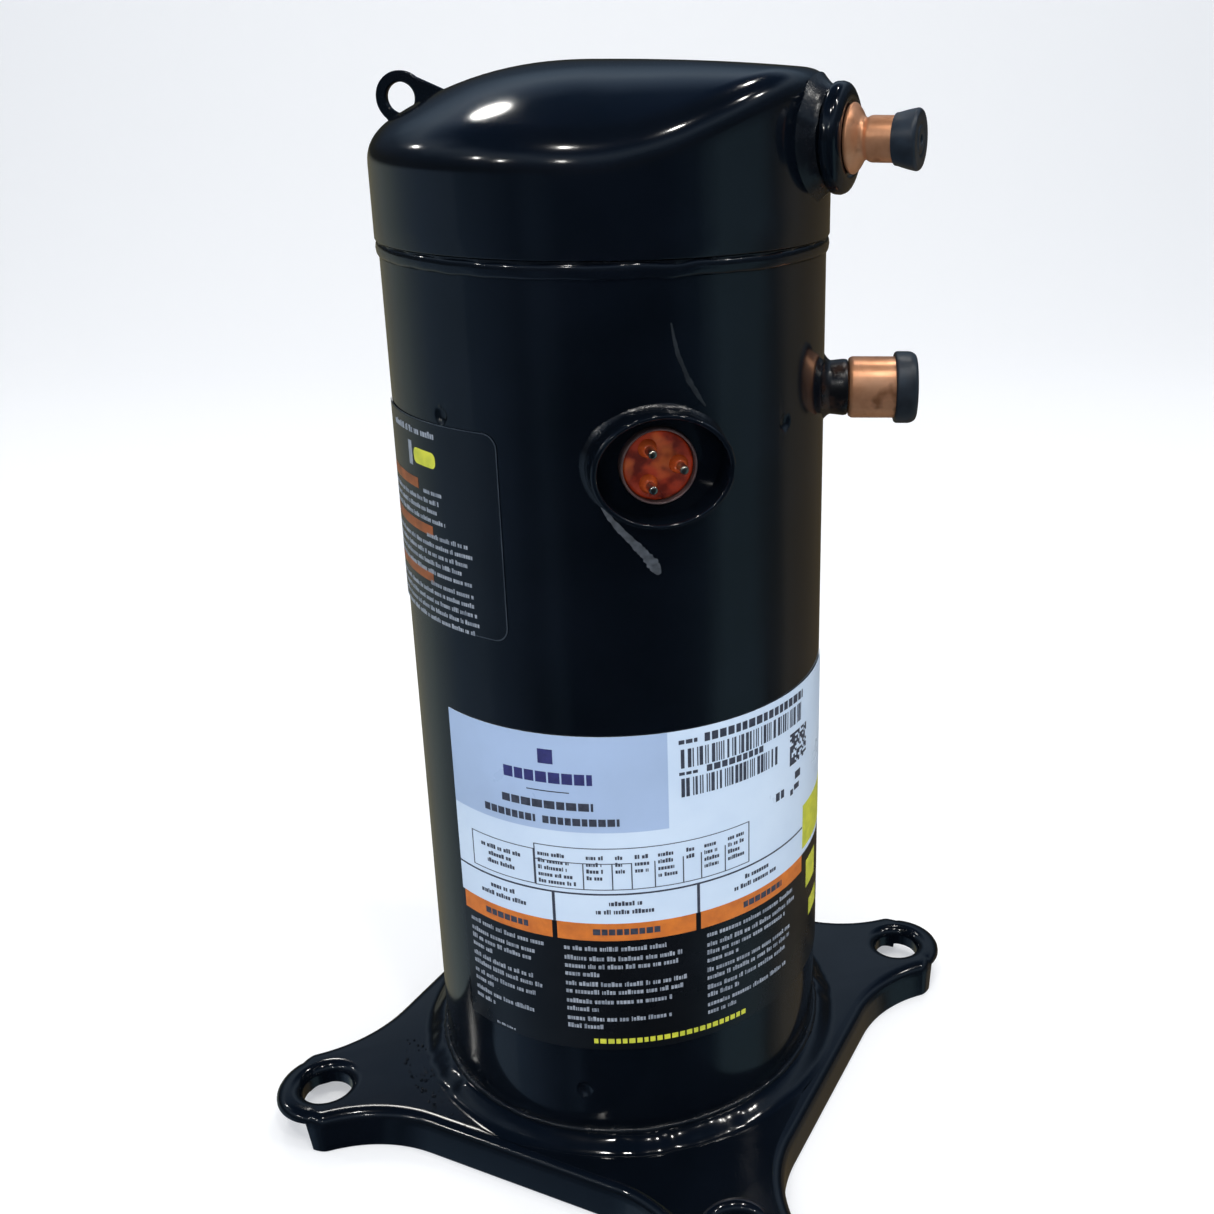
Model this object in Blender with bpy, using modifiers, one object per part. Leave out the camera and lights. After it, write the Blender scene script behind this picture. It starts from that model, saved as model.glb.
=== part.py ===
# Hermetic scroll compressor, in metres, +Z up. The origin is on the shell's axis, in the plane of the
# lower edges of the feet. The front foot and the electrical terminal face -Y.
import math

import bmesh
import bpy
from mathutils import Matrix, Vector

MM = 0.001
GAP = 0.3 * MM
FULL_TURN = 2 * math.pi

# Shell, cap and the partition plate between them
SHELL_RADIUS = 82.0 * MM
SHELL_WALL = 3.2 * MM
SHELL_TOP = 357.7 * MM
SHELL_SEGMENTS = 60
CAP_RADIUS = SHELL_RADIUS + 1.2 * MM
CAP_WALL = 3.2 * MM
CAP_RISE = 60.5 * MM
CAP_LOW_DROP = 26.0 * MM
CAP_HIGH_DROP = 3.5 * MM
CAP_DOME_POWER = 2.3
CAP_SHOULDER = 9.0 * MM
CAP_SHOULDER_START = 0.88
CAP_HIGH_HALF_ANGLE = math.radians(9)
CAP_RISE_ANGLE = math.radians(60)
CAP_SEGMENTS = 48
PARTITION_THICKNESS = 5.0 * MM
PARTITION_RIM_RADIUS = SHELL_RADIUS + 0.6 * MM
PARTITION_CROWN_HEIGHT = 25.0 * MM
PARTITION_CROWN_RADIUS = 56.0 * MM
PARTITION_PORT_RADIUS = 12.0 * MM

# Base plate with four feet
FOOT_HOLE_CIRCLE = SHELL_RADIUS + 52.7 * MM
FOOT_HOLE_RADIUS = 10.0 * MM
FOOT_LIP_WALL = 3.5 * MM
FOOT_LIP_DEPTH = 8.5 * MM
FOOT_LIP_ROUND = 4.5 * MM
FOOT_TIP_RADIUS = 20.5 * MM
FOOT_HALF_WIDTH = 22.5 * MM
FOOT_FLANGE_END = FOOT_HOLE_CIRCLE + 9.1 * MM
FOOT_TIP_ARC = math.radians(60)
PLATE_TOP = 16.5 * MM
PLATE_THICKNESS = 3.5 * MM
PLATE_WAIST = SHELL_RADIUS + 15.0 * MM
PLATE_SWEEP_RADIUS = 55.0 * MM
PLATE_BEND = 5.0 * MM
TIP_EDGE = 4.1 * MM
COLLAR_HEIGHT = 5.0 * MM
COLLAR_WIDTH = 9.0 * MM
SUMP_DEPTH = 7.5 * MM

# Fittings on the outside
SUCTION_ANGLE = math.radians(-21.3)
SUCTION_BELOW_SEAM = 52.7 * MM
SUCTION_NECK_RADIUS = 10.35 * MM
SUCTION_NECK_WALL = 1.75 * MM
SUCTION_NECK_END = SHELL_RADIUS + 9.0 * MM
SUCTION_TUBE_RADIUS = 11.75 * MM
SUCTION_TUBE_END = SUCTION_NECK_END + 21.0 * MM
TUBE_WALL = 1.0 * MM
PORT_SEGMENTS = 40
SUCTION_PLUG_WALL = 1.7 * MM
SUCTION_PLUG_OVERLAP = 2.8 * MM
DISCHARGE_ANGLE = math.radians(-41.3)
DISCHARGE_ABOVE_RIM = 34.7 * MM
BOSS_RADIUS = 18.5 * MM
BOSS_BORE = 7.0 * MM
BOSS_END = CAP_RADIUS + 10.8 * MM
DISCHARGE_TUBE_RADIUS = 7.75 * MM
DISCHARGE_TUBE_END = BOSS_END + 19.0 * MM
DISCHARGE_FLARE_RADIUS = 12.0 * MM
DISCHARGE_PLUG_OVERLAP = 3.5 * MM
DISCHARGE_PLUG_WALL = 0.7 * MM
DISCHARGE_PLUG_FLARE = 1.6 * MM
PLUG_END_WALL = 5.0 * MM
LUG_ANGLE = math.radians(150)
LUG_EYE_RADIUS = 9.5 * MM
LUG_HOLE_RADIUS = 5.5 * MM
LUG_THICKNESS = 3.0 * MM
LUG_EYE_REACH = CAP_RADIUS - 7.7 * MM
LUG_EYE_LIFT = 7.5 * MM
LUG_FOOT_START = LUG_EYE_REACH - 18.5 * MM

# Electrical terminal
TERMINAL_ANGLE = math.radians(-95)
TERMINAL_BELOW_SEAM = 61.9 * MM
FENCE_RADIUS = 24.4 * MM
FENCE_HEIGHT_SHARE = 0.8
FENCE_WALL = 2.0 * MM
FENCE_END = SHELL_RADIUS + 10.0 * MM
FENCE_NOTCH = 5.0 * MM
CUP_RADIUS = 13.2 * MM
CUP_WALL = 0.8 * MM
CUP_START = SHELL_RADIUS - 8.5 * MM
CUP_END = SHELL_RADIUS + 2.5 * MM
INSULATOR_END = CUP_END - 4.0 * MM
PIN_CIRCLE = 7.0 * MM
PIN_RADIUS = 1.5 * MM
PIN_START = CUP_START - 7.0 * MM
PIN_END = CUP_END + 6.5 * MM
CONNECTOR_RADIUS = 11.6 * MM
CONNECTOR_START = CUP_START - 12.5 * MM
LEAD_RADIUS = 1.9 * MM
LEAD_SPACING = 5.2 * MM

# Labels: angle range, height range
LABEL_THICKNESS = 0.25 * MM
NAMEPLATE_ANGLES = (math.radians(-156.6), math.radians(-24))
NAMEPLATE_HEIGHTS = (61.0 * MM, 196.5 * MM)
CAUTION_ANGLES = (math.radians(-190), math.radians(-135.3))
CAUTION_BELOW_SEAM = (126.7 * MM, 52.7 * MM)

# Bearing supports, fixed to the shell at four stakes
STAKE_ANGLES = tuple(math.radians(-149 + 90 * corner) for corner in range(4))
STAKE_RADIUS = 2.2 * MM
STAKE_DEPTH = 0.9 * MM
LOWER_STAKE_HEIGHT = 42.0 * MM
ARM_HALF_ANGLE = math.radians(10)
ARM_HEIGHT = 14.0 * MM
LOWER_ARM_HEIGHT = 8.0 * MM
HOUSING_BELOW_SEAM = 49.7 * MM
THRUST_HEIGHT = 8.0 * MM
CAVITY_DEPTH = 18.0 * MM
MAIN_HUB_WALL = 7.7 * MM
MAIN_HUB_LENGTH = 34.0 * MM
MAIN_JOURNAL_RADIUS = 15.0 * MM
MAIN_BUSH_WALL = 2.7 * MM
LOWER_HUB_RADIUS = 17.0 * MM
LOWER_HUB_BOTTOM = 34.0 * MM
LOWER_HUB_TOP = 60.0 * MM
LOWER_JOURNAL_RADIUS = 8.0 * MM
LOWER_BUSH_WALL = 2.7 * MM
LOWER_DISC_RADIUS = 30.0 * MM
POST_RADIUS = 7.5 * MM
POST_LENGTH = 25.7 * MM

# Crank, motor and counterweights
ORBIT_RADIUS = 5.0 * MM
SHAFT_RADIUS = 14.0 * MM
PIN_JOURNAL_RADIUS = 8.6 * MM
PIN_JOURNAL_REACH = 4.0 * MM
PIN_FLAT_DEPTH = 1.6 * MM
OIL_BORE_RADIUS = 5.0 * MM
OIL_BORE_TOP = 90.0 * MM
OIL_FEED_RADIUS = 2.2 * MM
PICKUP_LENGTH = 12.0 * MM
STACK_BOTTOM = 84.0 * MM
STACK_HEIGHT = 92.0 * MM
ROTOR_RADIUS = 37.5 * MM
AIR_GAP = 0.6 * MM
END_RING = 5.0 * MM
WINDING_HEIGHT = 31.0 * MM
WINDING_TO_SHELL = 12.0 * MM
STATOR_FLATS = 6
COUNTERWEIGHT_RADIUS = 39.0 * MM
COUNTERWEIGHT_BELOW_HUB = 42.0 * MM
COUNTERWEIGHT_HEIGHT = 20.0 * MM
LOWER_WEIGHT_HEIGHT = 9.0 * MM
SHIELD_CLEARANCE = 2.5 * MM
SHIELD_WALL = 1.2 * MM

# Scroll set
WRAP_PITCH = 18.0 * MM
WRAP_FLANK_GAP = 0.4 * MM
WRAP_HEIGHT = 24.3 * MM
WRAP_START = 2.8
WRAP_END = 16.6
WRAP_STEPS = 48
ORBITING_FLOOR = 8.4 * MM
ORBITING_RADIUS = 54.0 * MM
HUB_WALL = 3.7 * MM
HUB_LENGTH = 20.0 * MM
HUB_BEARING_WALL = 2.0 * MM
DRIVE_BUSH_WALL = 3.8 * MM
SCROLL_LID = 10.7 * MM
SCROLL_RIM_WALL = 4.3 * MM
SCROLL_RIM_DROP = 19.0 * MM
EAR_RADIUS = 8.3 * MM
EAR_HEIGHT = 12.0 * MM
BOLT_RADIUS = 4.0 * MM
BOLT_HEAD_RADIUS = 6.5 * MM
BOLT_HEAD_HEIGHT = 6.0 * MM
BOLT_THREAD = 9.0 * MM
SCROLL_LIFT = 1.0 * MM
SEAL_HUB_RADIUS = 24.0 * MM
SEAL_HUB_HEIGHT = 12.0 * MM
SEAL_RADIUS = 40.0 * MM
SEAL_BODY = 12.0 * MM
SEAL_TRAVEL = 2.0 * MM
PORT_RADIUS = 4.5 * MM
VALVE_SEAT_RADIUS = 9.5 * MM
VALVE_SEAT_DEPTH = 6.0 * MM
VALVE_THICKNESS = 1.2 * MM
VALVE_TRAVEL = 3.0 * MM
RELIEF_RADIUS = 5.0 * MM
RELIEF_CIRCLE = 48.5 * MM
RELIEF_LENGTH = 16.0 * MM

# Oldham coupling
OLDHAM_INNER = 48.0 * MM
OLDHAM_OUTER = OLDHAM_INNER + 6.0 * MM
OLDHAM_LIFT = 1.0 * MM
OLDHAM_HEIGHT = 4.5 * MM
KEY_WIDTH = 8.0 * MM
KEY_DEPTH = 5.0 * MM

# Small inner pieces
MAGNET_RADIUS = 12.0 * MM
MAGNET_HEIGHT = 4.0 * MM
BAFFLE_TO_SHELL = 15.0 * MM
BAFFLE_WALL = 1.2 * MM
BAFFLE_HALF_ANGLE = math.radians(19)
BAFFLE_HALF_HEIGHT = 15.0 * MM

# Sizes that follow from the values above
SHELL_BOTTOM = PLATE_TOP + GAP
SHELL_INNER = SHELL_RADIUS - SHELL_WALL
SUPPORT_RADIUS = SHELL_INNER - GAP
PARTITION_BOTTOM = SHELL_TOP + GAP
PARTITION_TOP = PARTITION_BOTTOM + PARTITION_THICKNESS
CAP_BOTTOM = PARTITION_TOP + GAP
CAP_TOP = CAP_BOTTOM + CAP_RISE
SUCTION_HEIGHT = SHELL_TOP - SUCTION_BELOW_SEAM
SUCTION_PLUG_START = SUCTION_TUBE_END - SUCTION_PLUG_OVERLAP
TERMINAL_HEIGHT = SHELL_TOP - TERMINAL_BELOW_SEAM
CAUTION_HEIGHTS = tuple(SHELL_TOP - below for below in CAUTION_BELOW_SEAM)
DISCHARGE_HEIGHT = CAP_BOTTOM + DISCHARGE_ABOVE_RIM
DISCHARGE_PLUG_START = DISCHARGE_TUBE_END - DISCHARGE_PLUG_OVERLAP
HOUSING_TOP = SHELL_TOP - HOUSING_BELOW_SEAM
MAIN_STAKE_HEIGHT = HOUSING_TOP - 5 * MM
CAVITY_FLOOR = HOUSING_TOP - CAVITY_DEPTH
MAIN_HUB_BOTTOM = CAVITY_FLOOR - MAIN_HUB_LENGTH
POST_TOP = HOUSING_TOP + POST_LENGTH
PIN_JOURNAL_TOP = HOUSING_TOP + PIN_JOURNAL_REACH
COUNTERWEIGHT_BOTTOM = MAIN_HUB_BOTTOM - COUNTERWEIGHT_BELOW_HUB
MAIN_BORE = MAIN_JOURNAL_RADIUS + MAIN_BUSH_WALL + 2 * GAP
MAIN_HUB_RADIUS = MAIN_BORE + MAIN_HUB_WALL
WINDING_INNER = ROTOR_RADIUS + AIR_GAP + 4.9 * MM
WINDING_OUTER = SHELL_RADIUS - WINDING_TO_SHELL
HUB_BORE = PIN_JOURNAL_RADIUS + DRIVE_BUSH_WALL + HUB_BEARING_WALL + 3 * GAP
HUB_RADIUS = HUB_BORE + HUB_WALL
CAVITY_RADIUS = HUB_RADIUS + ORBIT_RADIUS + 2.7 * MM
THRUST_RADIUS = OLDHAM_INNER - ORBIT_RADIUS - 1 * MM
ORBIT_REACH = max(ORBITING_RADIUS, OLDHAM_OUTER) + ORBIT_RADIUS
POST_CIRCLE = ORBIT_REACH + POST_RADIUS + 2 * MM
HOUSING_DISC_RADIUS = POST_CIRCLE - POST_RADIUS - 3 * MM
SCROLL_RIM_OUTER = POST_CIRCLE - 8 * MM
CROWN_BOTTOM = PARTITION_BOTTOM + PARTITION_CROWN_HEIGHT
CROWN_TOP = CROWN_BOTTOM + PARTITION_THICKNESS
THRUST_TOP = HOUSING_TOP + THRUST_HEIGHT
ORBITING_BOTTOM = THRUST_TOP + GAP
ORBITING_TOP = ORBITING_BOTTOM + ORBITING_FLOOR
LID_BOTTOM = ORBITING_TOP + WRAP_HEIGHT + GAP
LID_TOP = LID_BOTTOM + SCROLL_LID
WRAP_BASE_RADIUS = WRAP_PITCH / FULL_TURN
WRAP_WALL = WRAP_PITCH / 2 - ORBIT_RADIUS - WRAP_FLANK_GAP
STACK_TOP = STACK_BOTTOM + STACK_HEIGHT
EAR_BOTTOM = POST_TOP + GAP
EAR_TOP = EAR_BOTTOM + EAR_HEIGHT
OLDHAM_BOTTOM = HOUSING_TOP + OLDHAM_LIFT
OLDHAM_TOP = OLDHAM_BOTTOM + OLDHAM_HEIGHT


def make_collection(name):
    collection = bpy.data.collections.new(name)
    bpy.context.scene.collection.children.link(collection)
    return collection


def make_material(name, colour, roughness, metallic):
    material = bpy.data.materials.new(name)
    material.use_nodes = True
    shader = material.node_tree.nodes["Principled BSDF"]
    shader.inputs["Base Color"].default_value = (*colour, 1.0)
    shader.inputs["Roughness"].default_value = roughness
    shader.inputs["Metallic"].default_value = metallic
    material.diffuse_color = (*colour, 1.0)
    return material


def add_object(name, mesh, material, smooth_angle=40):
    piece = bpy.data.objects.new(name, mesh)
    if material is None:
        CUTTERS.objects.link(piece)
        piece.hide_render = True
        piece.display_type = "WIRE"
        return piece
    PARTS.objects.link(piece)
    if not mesh.materials:
        mesh.materials.append(material)
    mesh.shade_smooth()
    mesh.set_sharp_from_angle(angle=math.radians(smooth_angle))
    return piece


def add_empty(name, location, parent=None):
    empty = bpy.data.objects.new(name, None)
    empty.empty_display_size = 10 * MM
    empty.location = location
    PARTS.objects.link(empty)
    empty.parent = parent
    return empty


def turned(name, profile, material, segments=32, closed=True):
    """A profile of (radius, height) turned about Z; it runs down its outer side."""
    mesh = bpy.data.meshes.new(name)
    build = bmesh.new()
    corners = [build.verts.new((radius, 0, height)) for radius, height in profile]
    for first, second in zip(corners, corners[1:]):
        build.edges.new((first, second))
    if closed:
        build.edges.new((corners[-1], corners[0]))
    build.to_mesh(mesh)
    build.free()
    piece = add_object(name, mesh, material)
    screw = piece.modifiers.new("turn", "SCREW")
    screw.axis = "Z"
    screw.steps = segments
    screw.render_steps = segments
    screw.use_merge_vertices = True
    screw.merge_threshold = 0.00001
    screw.use_smooth_shade = True
    return piece


def ring_profile(inner, outer, bottom, top):
    return [(inner, top), (outer, top), (outer, bottom), (inner, bottom)]


def rod_profile(radius, bottom, top):
    return [(0, top), (radius, top), (radius, bottom), (0, bottom)]


def ring(name, inner, outer, bottom, top, material, segments=32):
    return turned(name, ring_profile(inner, outer, bottom, top), material, segments)


def rod(name, radius, bottom, top, material, segments=24):
    return turned(name, rod_profile(radius, bottom, top), material, segments, closed=False)


def box(name, size, centre, material):
    mesh = bpy.data.meshes.new(name)
    build = bmesh.new()
    bmesh.ops.create_cube(build, size=1.0)
    bmesh.ops.scale(build, vec=size, verts=build.verts)
    bmesh.ops.translate(build, vec=centre, verts=build.verts)
    build.to_mesh(mesh)
    build.free()
    return add_object(name, mesh, material)


def mesh_from_curve(name, guide, material):
    """Turns a curve object into a closed mesh object and removes the curve."""
    CUTTERS.objects.link(guide)
    bpy.context.view_layer.update()
    evaluated = guide.evaluated_get(bpy.context.evaluated_depsgraph_get())
    mesh = bpy.data.meshes.new_from_object(evaluated)
    mesh.name = name
    mesh.materials.clear()
    build = bmesh.new()
    build.from_mesh(mesh)
    bmesh.ops.remove_doubles(build, verts=build.verts, dist=0.00001)
    build.to_mesh(mesh)
    build.free()
    piece = add_object(name, mesh, material)
    piece.matrix_world = guide.matrix_world.copy()
    curve = guide.data
    bpy.data.objects.remove(guide)
    bpy.data.curves.remove(curve)
    return piece


def outline_solid(name, outlines, bottom, top, material):
    """Flat closed outlines (an outer one and any holes) given a thickness along Z."""
    curve = bpy.data.curves.new(name, "CURVE")
    curve.dimensions = "2D"
    curve.fill_mode = "BOTH"
    curve.extrude = (top - bottom) / 2
    for outline in outlines:
        spline = curve.splines.new("POLY")
        spline.points.add(len(outline) - 1)
        for point, place in zip(spline.points, outline):
            point.co = (place[0], place[1], 0, 1)
        spline.use_cyclic_u = True
    guide = bpy.data.objects.new(f"{name}_curve", curve)
    guide.location = (0, 0, (bottom + top) / 2)
    return mesh_from_curve(name, guide, material)


def wire(name, points, radius, material):
    curve = bpy.data.curves.new(name, "CURVE")
    curve.dimensions = "3D"
    curve.bevel_depth = radius
    curve.bevel_resolution = 2
    curve.use_fill_caps = True
    spline = curve.splines.new("POLY")
    spline.points.add(len(points) - 1)
    for point, place in zip(spline.points, points):
        point.co = (*place, 1)
    return mesh_from_curve(name, bpy.data.objects.new(f"{name}_curve", curve), material)


def combine(piece, other, operation):
    modifier = piece.modifiers.new(f"{operation.lower()} {other.name}", "BOOLEAN")
    modifier.operation = operation
    modifier.solver = "EXACT"
    modifier.object = other
    return piece


def cut(piece, cutter):
    return combine(piece, cutter, "DIFFERENCE")


def join(piece, other):
    return combine(piece, other, "UNION")


def arc(centre, radius, start, end, steps):
    points = []
    for step in range(steps + 1):
        angle = start + (end - start) * step / steps
        points.append((centre[0] + radius * math.cos(angle), centre[1] + radius * math.sin(angle)))
    return points


def circle(centre, radius, steps=24):
    return arc(centre, radius, 0, FULL_TURN * (steps - 1) / steps, steps - 1)


def sector(inner, outer, start, end, steps):
    return arc((0, 0), outer, start, end, steps) + arc((0, 0), inner, end, start, steps)


def polar(radius, angle, height=0.0):
    return Vector((radius * math.cos(angle), radius * math.sin(angle), height))


def point_outward(piece, angle, height):
    """Turns a piece made along +Z so that its axis runs out of the shell at an angle and height."""
    piece.rotation_euler = (0, math.pi / 2, angle)
    piece.location = (0, 0, height)
    return piece


def smooth_step(value):
    value = min(max(value, 0.0), 1.0)
    return value * value * (3 - 2 * value)


def ring_loft(name, rings, material):
    """A closed skin through rings of equal point counts, closed at both ends by a centre point."""
    mesh = bpy.data.meshes.new(name)
    build = bmesh.new()
    rows = [[build.verts.new(place) for place in row] for row in rings]
    count = max(len(row) for row in rows)
    for upper, lower in zip(rows, rows[1:]):
        for index in range(count):
            following = (index + 1) % count
            corners = [upper[index % len(upper)], lower[index % len(lower)]]
            if len(lower) > 1:
                corners.append(lower[following])
            if len(upper) > 1:
                corners.append(upper[following])
            build.faces.new(corners)
    build.to_mesh(mesh)
    build.free()
    return add_object(name, mesh, material)


# Base plate

def foot_quarter():
    """Outline from one foot's centre line to the next: (x, y, normal x, normal y, flange depth)."""
    half = []
    for x, y in arc((FOOT_HOLE_CIRCLE, 0), FOOT_TIP_RADIUS, 0, FOOT_TIP_ARC, 3):
        normal = Vector((x - FOOT_HOLE_CIRCLE, y)).normalized()
        half.append((x, y, normal.x, normal.y, TIP_EDGE))
    half.append((FOOT_FLANGE_END, FOOT_HALF_WIDTH, 0, 1, PLATE_TOP))
    corner_x = PLATE_WAIST * math.sqrt(2) - FOOT_HALF_WIDTH
    eighth = math.tan(math.pi / 8)
    sweep = min(PLATE_SWEEP_RADIUS, (FOOT_FLANGE_END - 3 * MM - corner_x) / eighth)
    centre = (corner_x + sweep * eighth, FOOT_HALF_WIDTH + sweep)
    for x, y in arc(centre, sweep, -math.pi / 2, -3 * math.pi / 4, 4):
        normal = Vector((centre[0] - x, centre[1] - y)).normalized()
        half.append((x, y, normal.x, normal.y, PLATE_TOP))
    diagonal = math.sqrt(0.5)
    waist = PLATE_WAIST * diagonal
    half.append((waist, waist, diagonal, diagonal, PLATE_TOP))
    mirrored = [(y, x, ny, nx, depth) for x, y, nx, ny, depth in reversed(half[1:-1])]
    return half + mirrored


def foot_outline():
    quarter = foot_quarter()
    outline = []
    for turn in range(4):
        sine, cosine = round(math.sin(turn * math.pi / 2)), round(math.cos(turn * math.pi / 2))
        for x, y, nx, ny, depth in quarter:
            outline.append((x * cosine - y * sine, x * sine + y * cosine,
                            nx * cosine - ny * sine, nx * sine + ny * cosine, depth))
    return outline


def inset_row(outline, inset, height):
    """The outline moved inward; height is a function of the flange depth at each point."""
    return [(x - nx * inset, y - ny * inset, height(depth)) for x, y, nx, ny, depth in outline]


def circle_row(outline, radius, height):
    count = len(outline)
    return [polar(radius, FULL_TURN * index / count, height) for index in range(count)]


def base_plate(material):
    outline = foot_outline()
    underside = PLATE_TOP - PLATE_THICKNESS
    seat = SHELL_RADIUS + GAP
    collar_top = PLATE_TOP + COLLAR_HEIGHT
    collar_foot = seat + COLLAR_WIDTH
    sump_edge = SHELL_INNER - 3 * MM
    sump_floor = sump_edge - 16 * MM
    sump_top = PLATE_TOP - SUMP_DEPTH
    rings = [[(0, 0, sump_top)]]
    rings.append(circle_row(outline, sump_floor, sump_top))
    rings.append(circle_row(outline, sump_edge, PLATE_TOP))
    rings.append(circle_row(outline, seat, PLATE_TOP))
    rings.append(circle_row(outline, seat, collar_top - 0.6 * MM))
    rings.append(circle_row(outline, seat + 1.6 * MM, collar_top))
    rings.append(circle_row(outline, seat + 0.5 * COLLAR_WIDTH, collar_top - 1.2 * MM))
    rings.append(circle_row(outline, collar_foot, PLATE_TOP + 0.6 * MM))
    rings.append(inset_row(outline, PLATE_BEND, lambda depth: PLATE_TOP))
    for turn in (math.pi / 4, math.pi / 2):
        inset = PLATE_BEND * (1 - math.sin(turn))
        fall = 1 - math.cos(turn)
        rings.append(inset_row(outline, inset,
                               lambda depth: PLATE_TOP - fall * min(PLATE_BEND, depth - 0.6 * MM)))
    rings.append(inset_row(outline, 0, lambda depth: PLATE_TOP - depth))
    rings.append(inset_row(outline, PLATE_THICKNESS, lambda depth: PLATE_TOP - depth))
    rings.append(inset_row(outline, PLATE_THICKNESS + 1.5 * MM, lambda depth: underside))
    rings.append(circle_row(outline, collar_foot - 1 * MM, underside))
    rings.append(circle_row(outline, sump_edge, underside))
    rings.append(circle_row(outline, sump_floor, sump_top - PLATE_THICKNESS))
    rings.append([(0, 0, sump_top - PLATE_THICKNESS)])
    plate = ring_loft("base_plate", rings, material)
    lip_bottom = PLATE_TOP - FOOT_LIP_DEPTH
    places = [polar(FOOT_HOLE_CIRCLE, foot * math.pi / 2) for foot in range(4)]
    for foot, place in enumerate(places):
        lip = rod(f"foot_lip_{foot}", FOOT_HOLE_RADIUS + FOOT_LIP_WALL, lip_bottom, underside + 1 * MM, None,
                  18)
        lip.location = place
        join(plate, lip)
    top_radius = FOOT_HOLE_RADIUS + FOOT_LIP_ROUND
    profile = [(0, PLATE_TOP + 1 * MM), (top_radius, PLATE_TOP + 1 * MM), (top_radius, PLATE_TOP - 0.1 * MM)]
    for step in (1, 2):
        angle = step * math.pi / 4
        profile.append((top_radius - FOOT_LIP_ROUND * math.sin(angle),
                        PLATE_TOP - FOOT_LIP_ROUND * (1 - math.cos(angle))))
    profile.append((FOOT_HOLE_RADIUS, lip_bottom - 1 * MM))
    profile.append((0, lip_bottom - 1 * MM))
    for foot, place in enumerate(places):
        bore = turned(f"foot_bore_{foot}", profile, None, 20, closed=False)
        bore.location = place
        cut(plate, bore)
    return plate


# Shell and cap

def stake_cutters(name, height):
    """Shallow round stakes that lock a bearing support to the shell."""
    cutters = []
    for corner, angle in enumerate(STAKE_ANGLES):
        profile = [(0, SHELL_RADIUS + 1 * MM), (STAKE_RADIUS * 1.5, SHELL_RADIUS + 1 * MM),
                   (STAKE_RADIUS * 0.6, SHELL_RADIUS - STAKE_DEPTH), (0, SHELL_RADIUS - STAKE_DEPTH)]
        stake = turned(f"{name}_{corner}", profile, None, 6, closed=False)
        cutters.append(point_outward(stake, angle, height))
    return cutters


def center_shell(material):
    shell = ring("center_shell", SHELL_INNER, SHELL_RADIUS, SHELL_BOTTOM, SHELL_TOP, material, SHELL_SEGMENTS)
    suction = rod("suction_hole", SUCTION_NECK_RADIUS + GAP, SHELL_INNER - 8 * MM, SHELL_RADIUS + 5 * MM,
                  None)
    cut(shell, point_outward(suction, SUCTION_ANGLE, SUCTION_HEIGHT))
    terminal = rod("terminal_hole", CUP_RADIUS + GAP, SHELL_INNER - 8 * MM, SHELL_RADIUS + 5 * MM, None)
    cut(shell, point_outward(terminal, TERMINAL_ANGLE, TERMINAL_HEIGHT))
    stakes = stake_cutters("main_stake", MAIN_STAKE_HEIGHT) + stake_cutters("lower_stake", LOWER_STAKE_HEIGHT)
    for stake in stakes:
        cut(shell, stake)
    return shell


def cap_drop(angle):
    """Fall of the cap's top at its rim: small at the raised side, large all round elsewhere."""
    away = abs(math.remainder(angle - DISCHARGE_ANGLE, FULL_TURN))
    share = smooth_step((away - CAP_HIGH_HALF_ANGLE) / CAP_RISE_ANGLE)
    return CAP_HIGH_DROP + share * (CAP_LOW_DROP - CAP_HIGH_DROP)


def cap_height(radius, angle):
    return CAP_TOP - cap_drop(angle) * (radius / CAP_RADIUS) ** CAP_DOME_POWER


def cap_profile(angle, shares, steps):
    """Points from the dome down over the shoulder to the top of the upright wall."""
    points = []
    for share in (*shares, CAP_SHOULDER_START):
        points.append((share * CAP_RADIUS, cap_height(share * CAP_RADIUS, angle)))
    start = Vector(points[-1])
    slope = -cap_drop(angle) * CAP_DOME_POWER * CAP_SHOULDER_START ** (CAP_DOME_POWER - 1) / CAP_RADIUS
    corner = Vector((CAP_RADIUS, start.y + slope * (CAP_RADIUS - start.x)))
    end = corner - Vector((0, CAP_SHOULDER))
    for step in range(1, steps + 1):
        share = step / steps
        place = start * (1 - share) ** 2 + corner * 2 * share * (1 - share) + end * share ** 2
        points.append((place.x, place.y))
    return points


def cap_rows(shares, steps, inset):
    angles = [FULL_TURN * index / CAP_SEGMENTS for index in range(CAP_SEGMENTS)]
    shrink = (CAP_RADIUS - inset) / CAP_RADIUS
    profiles = [cap_profile(angle, shares, steps) for angle in angles]
    rows = [[(0, 0, CAP_TOP - inset)]]
    for level in range(len(profiles[0])):
        row = [polar(profile[level][0] * shrink, angle, profile[level][1] - inset)
               for angle, profile in zip(angles, profiles)]
        rows.append(row)
    return rows, angles


def top_cap(material):
    outer, angles = cap_rows((0.3, 0.5, 0.7), 4, 0)
    inner, _ = cap_rows((0.5,), 2, CAP_WALL)
    rings = outer
    rings.append([polar(CAP_RADIUS, angle, CAP_BOTTOM) for angle in angles])
    rings.append([polar(CAP_RADIUS - CAP_WALL, angle, CAP_BOTTOM) for angle in angles])
    rings.extend(reversed(inner))
    cap = ring_loft("top_cap", rings, material)
    port = rod("discharge_hole", BOSS_BORE, CAP_RADIUS - 12 * MM, CAP_RADIUS + 5 * MM, None)
    return cut(cap, point_outward(port, DISCHARGE_ANGLE, DISCHARGE_HEIGHT))


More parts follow.
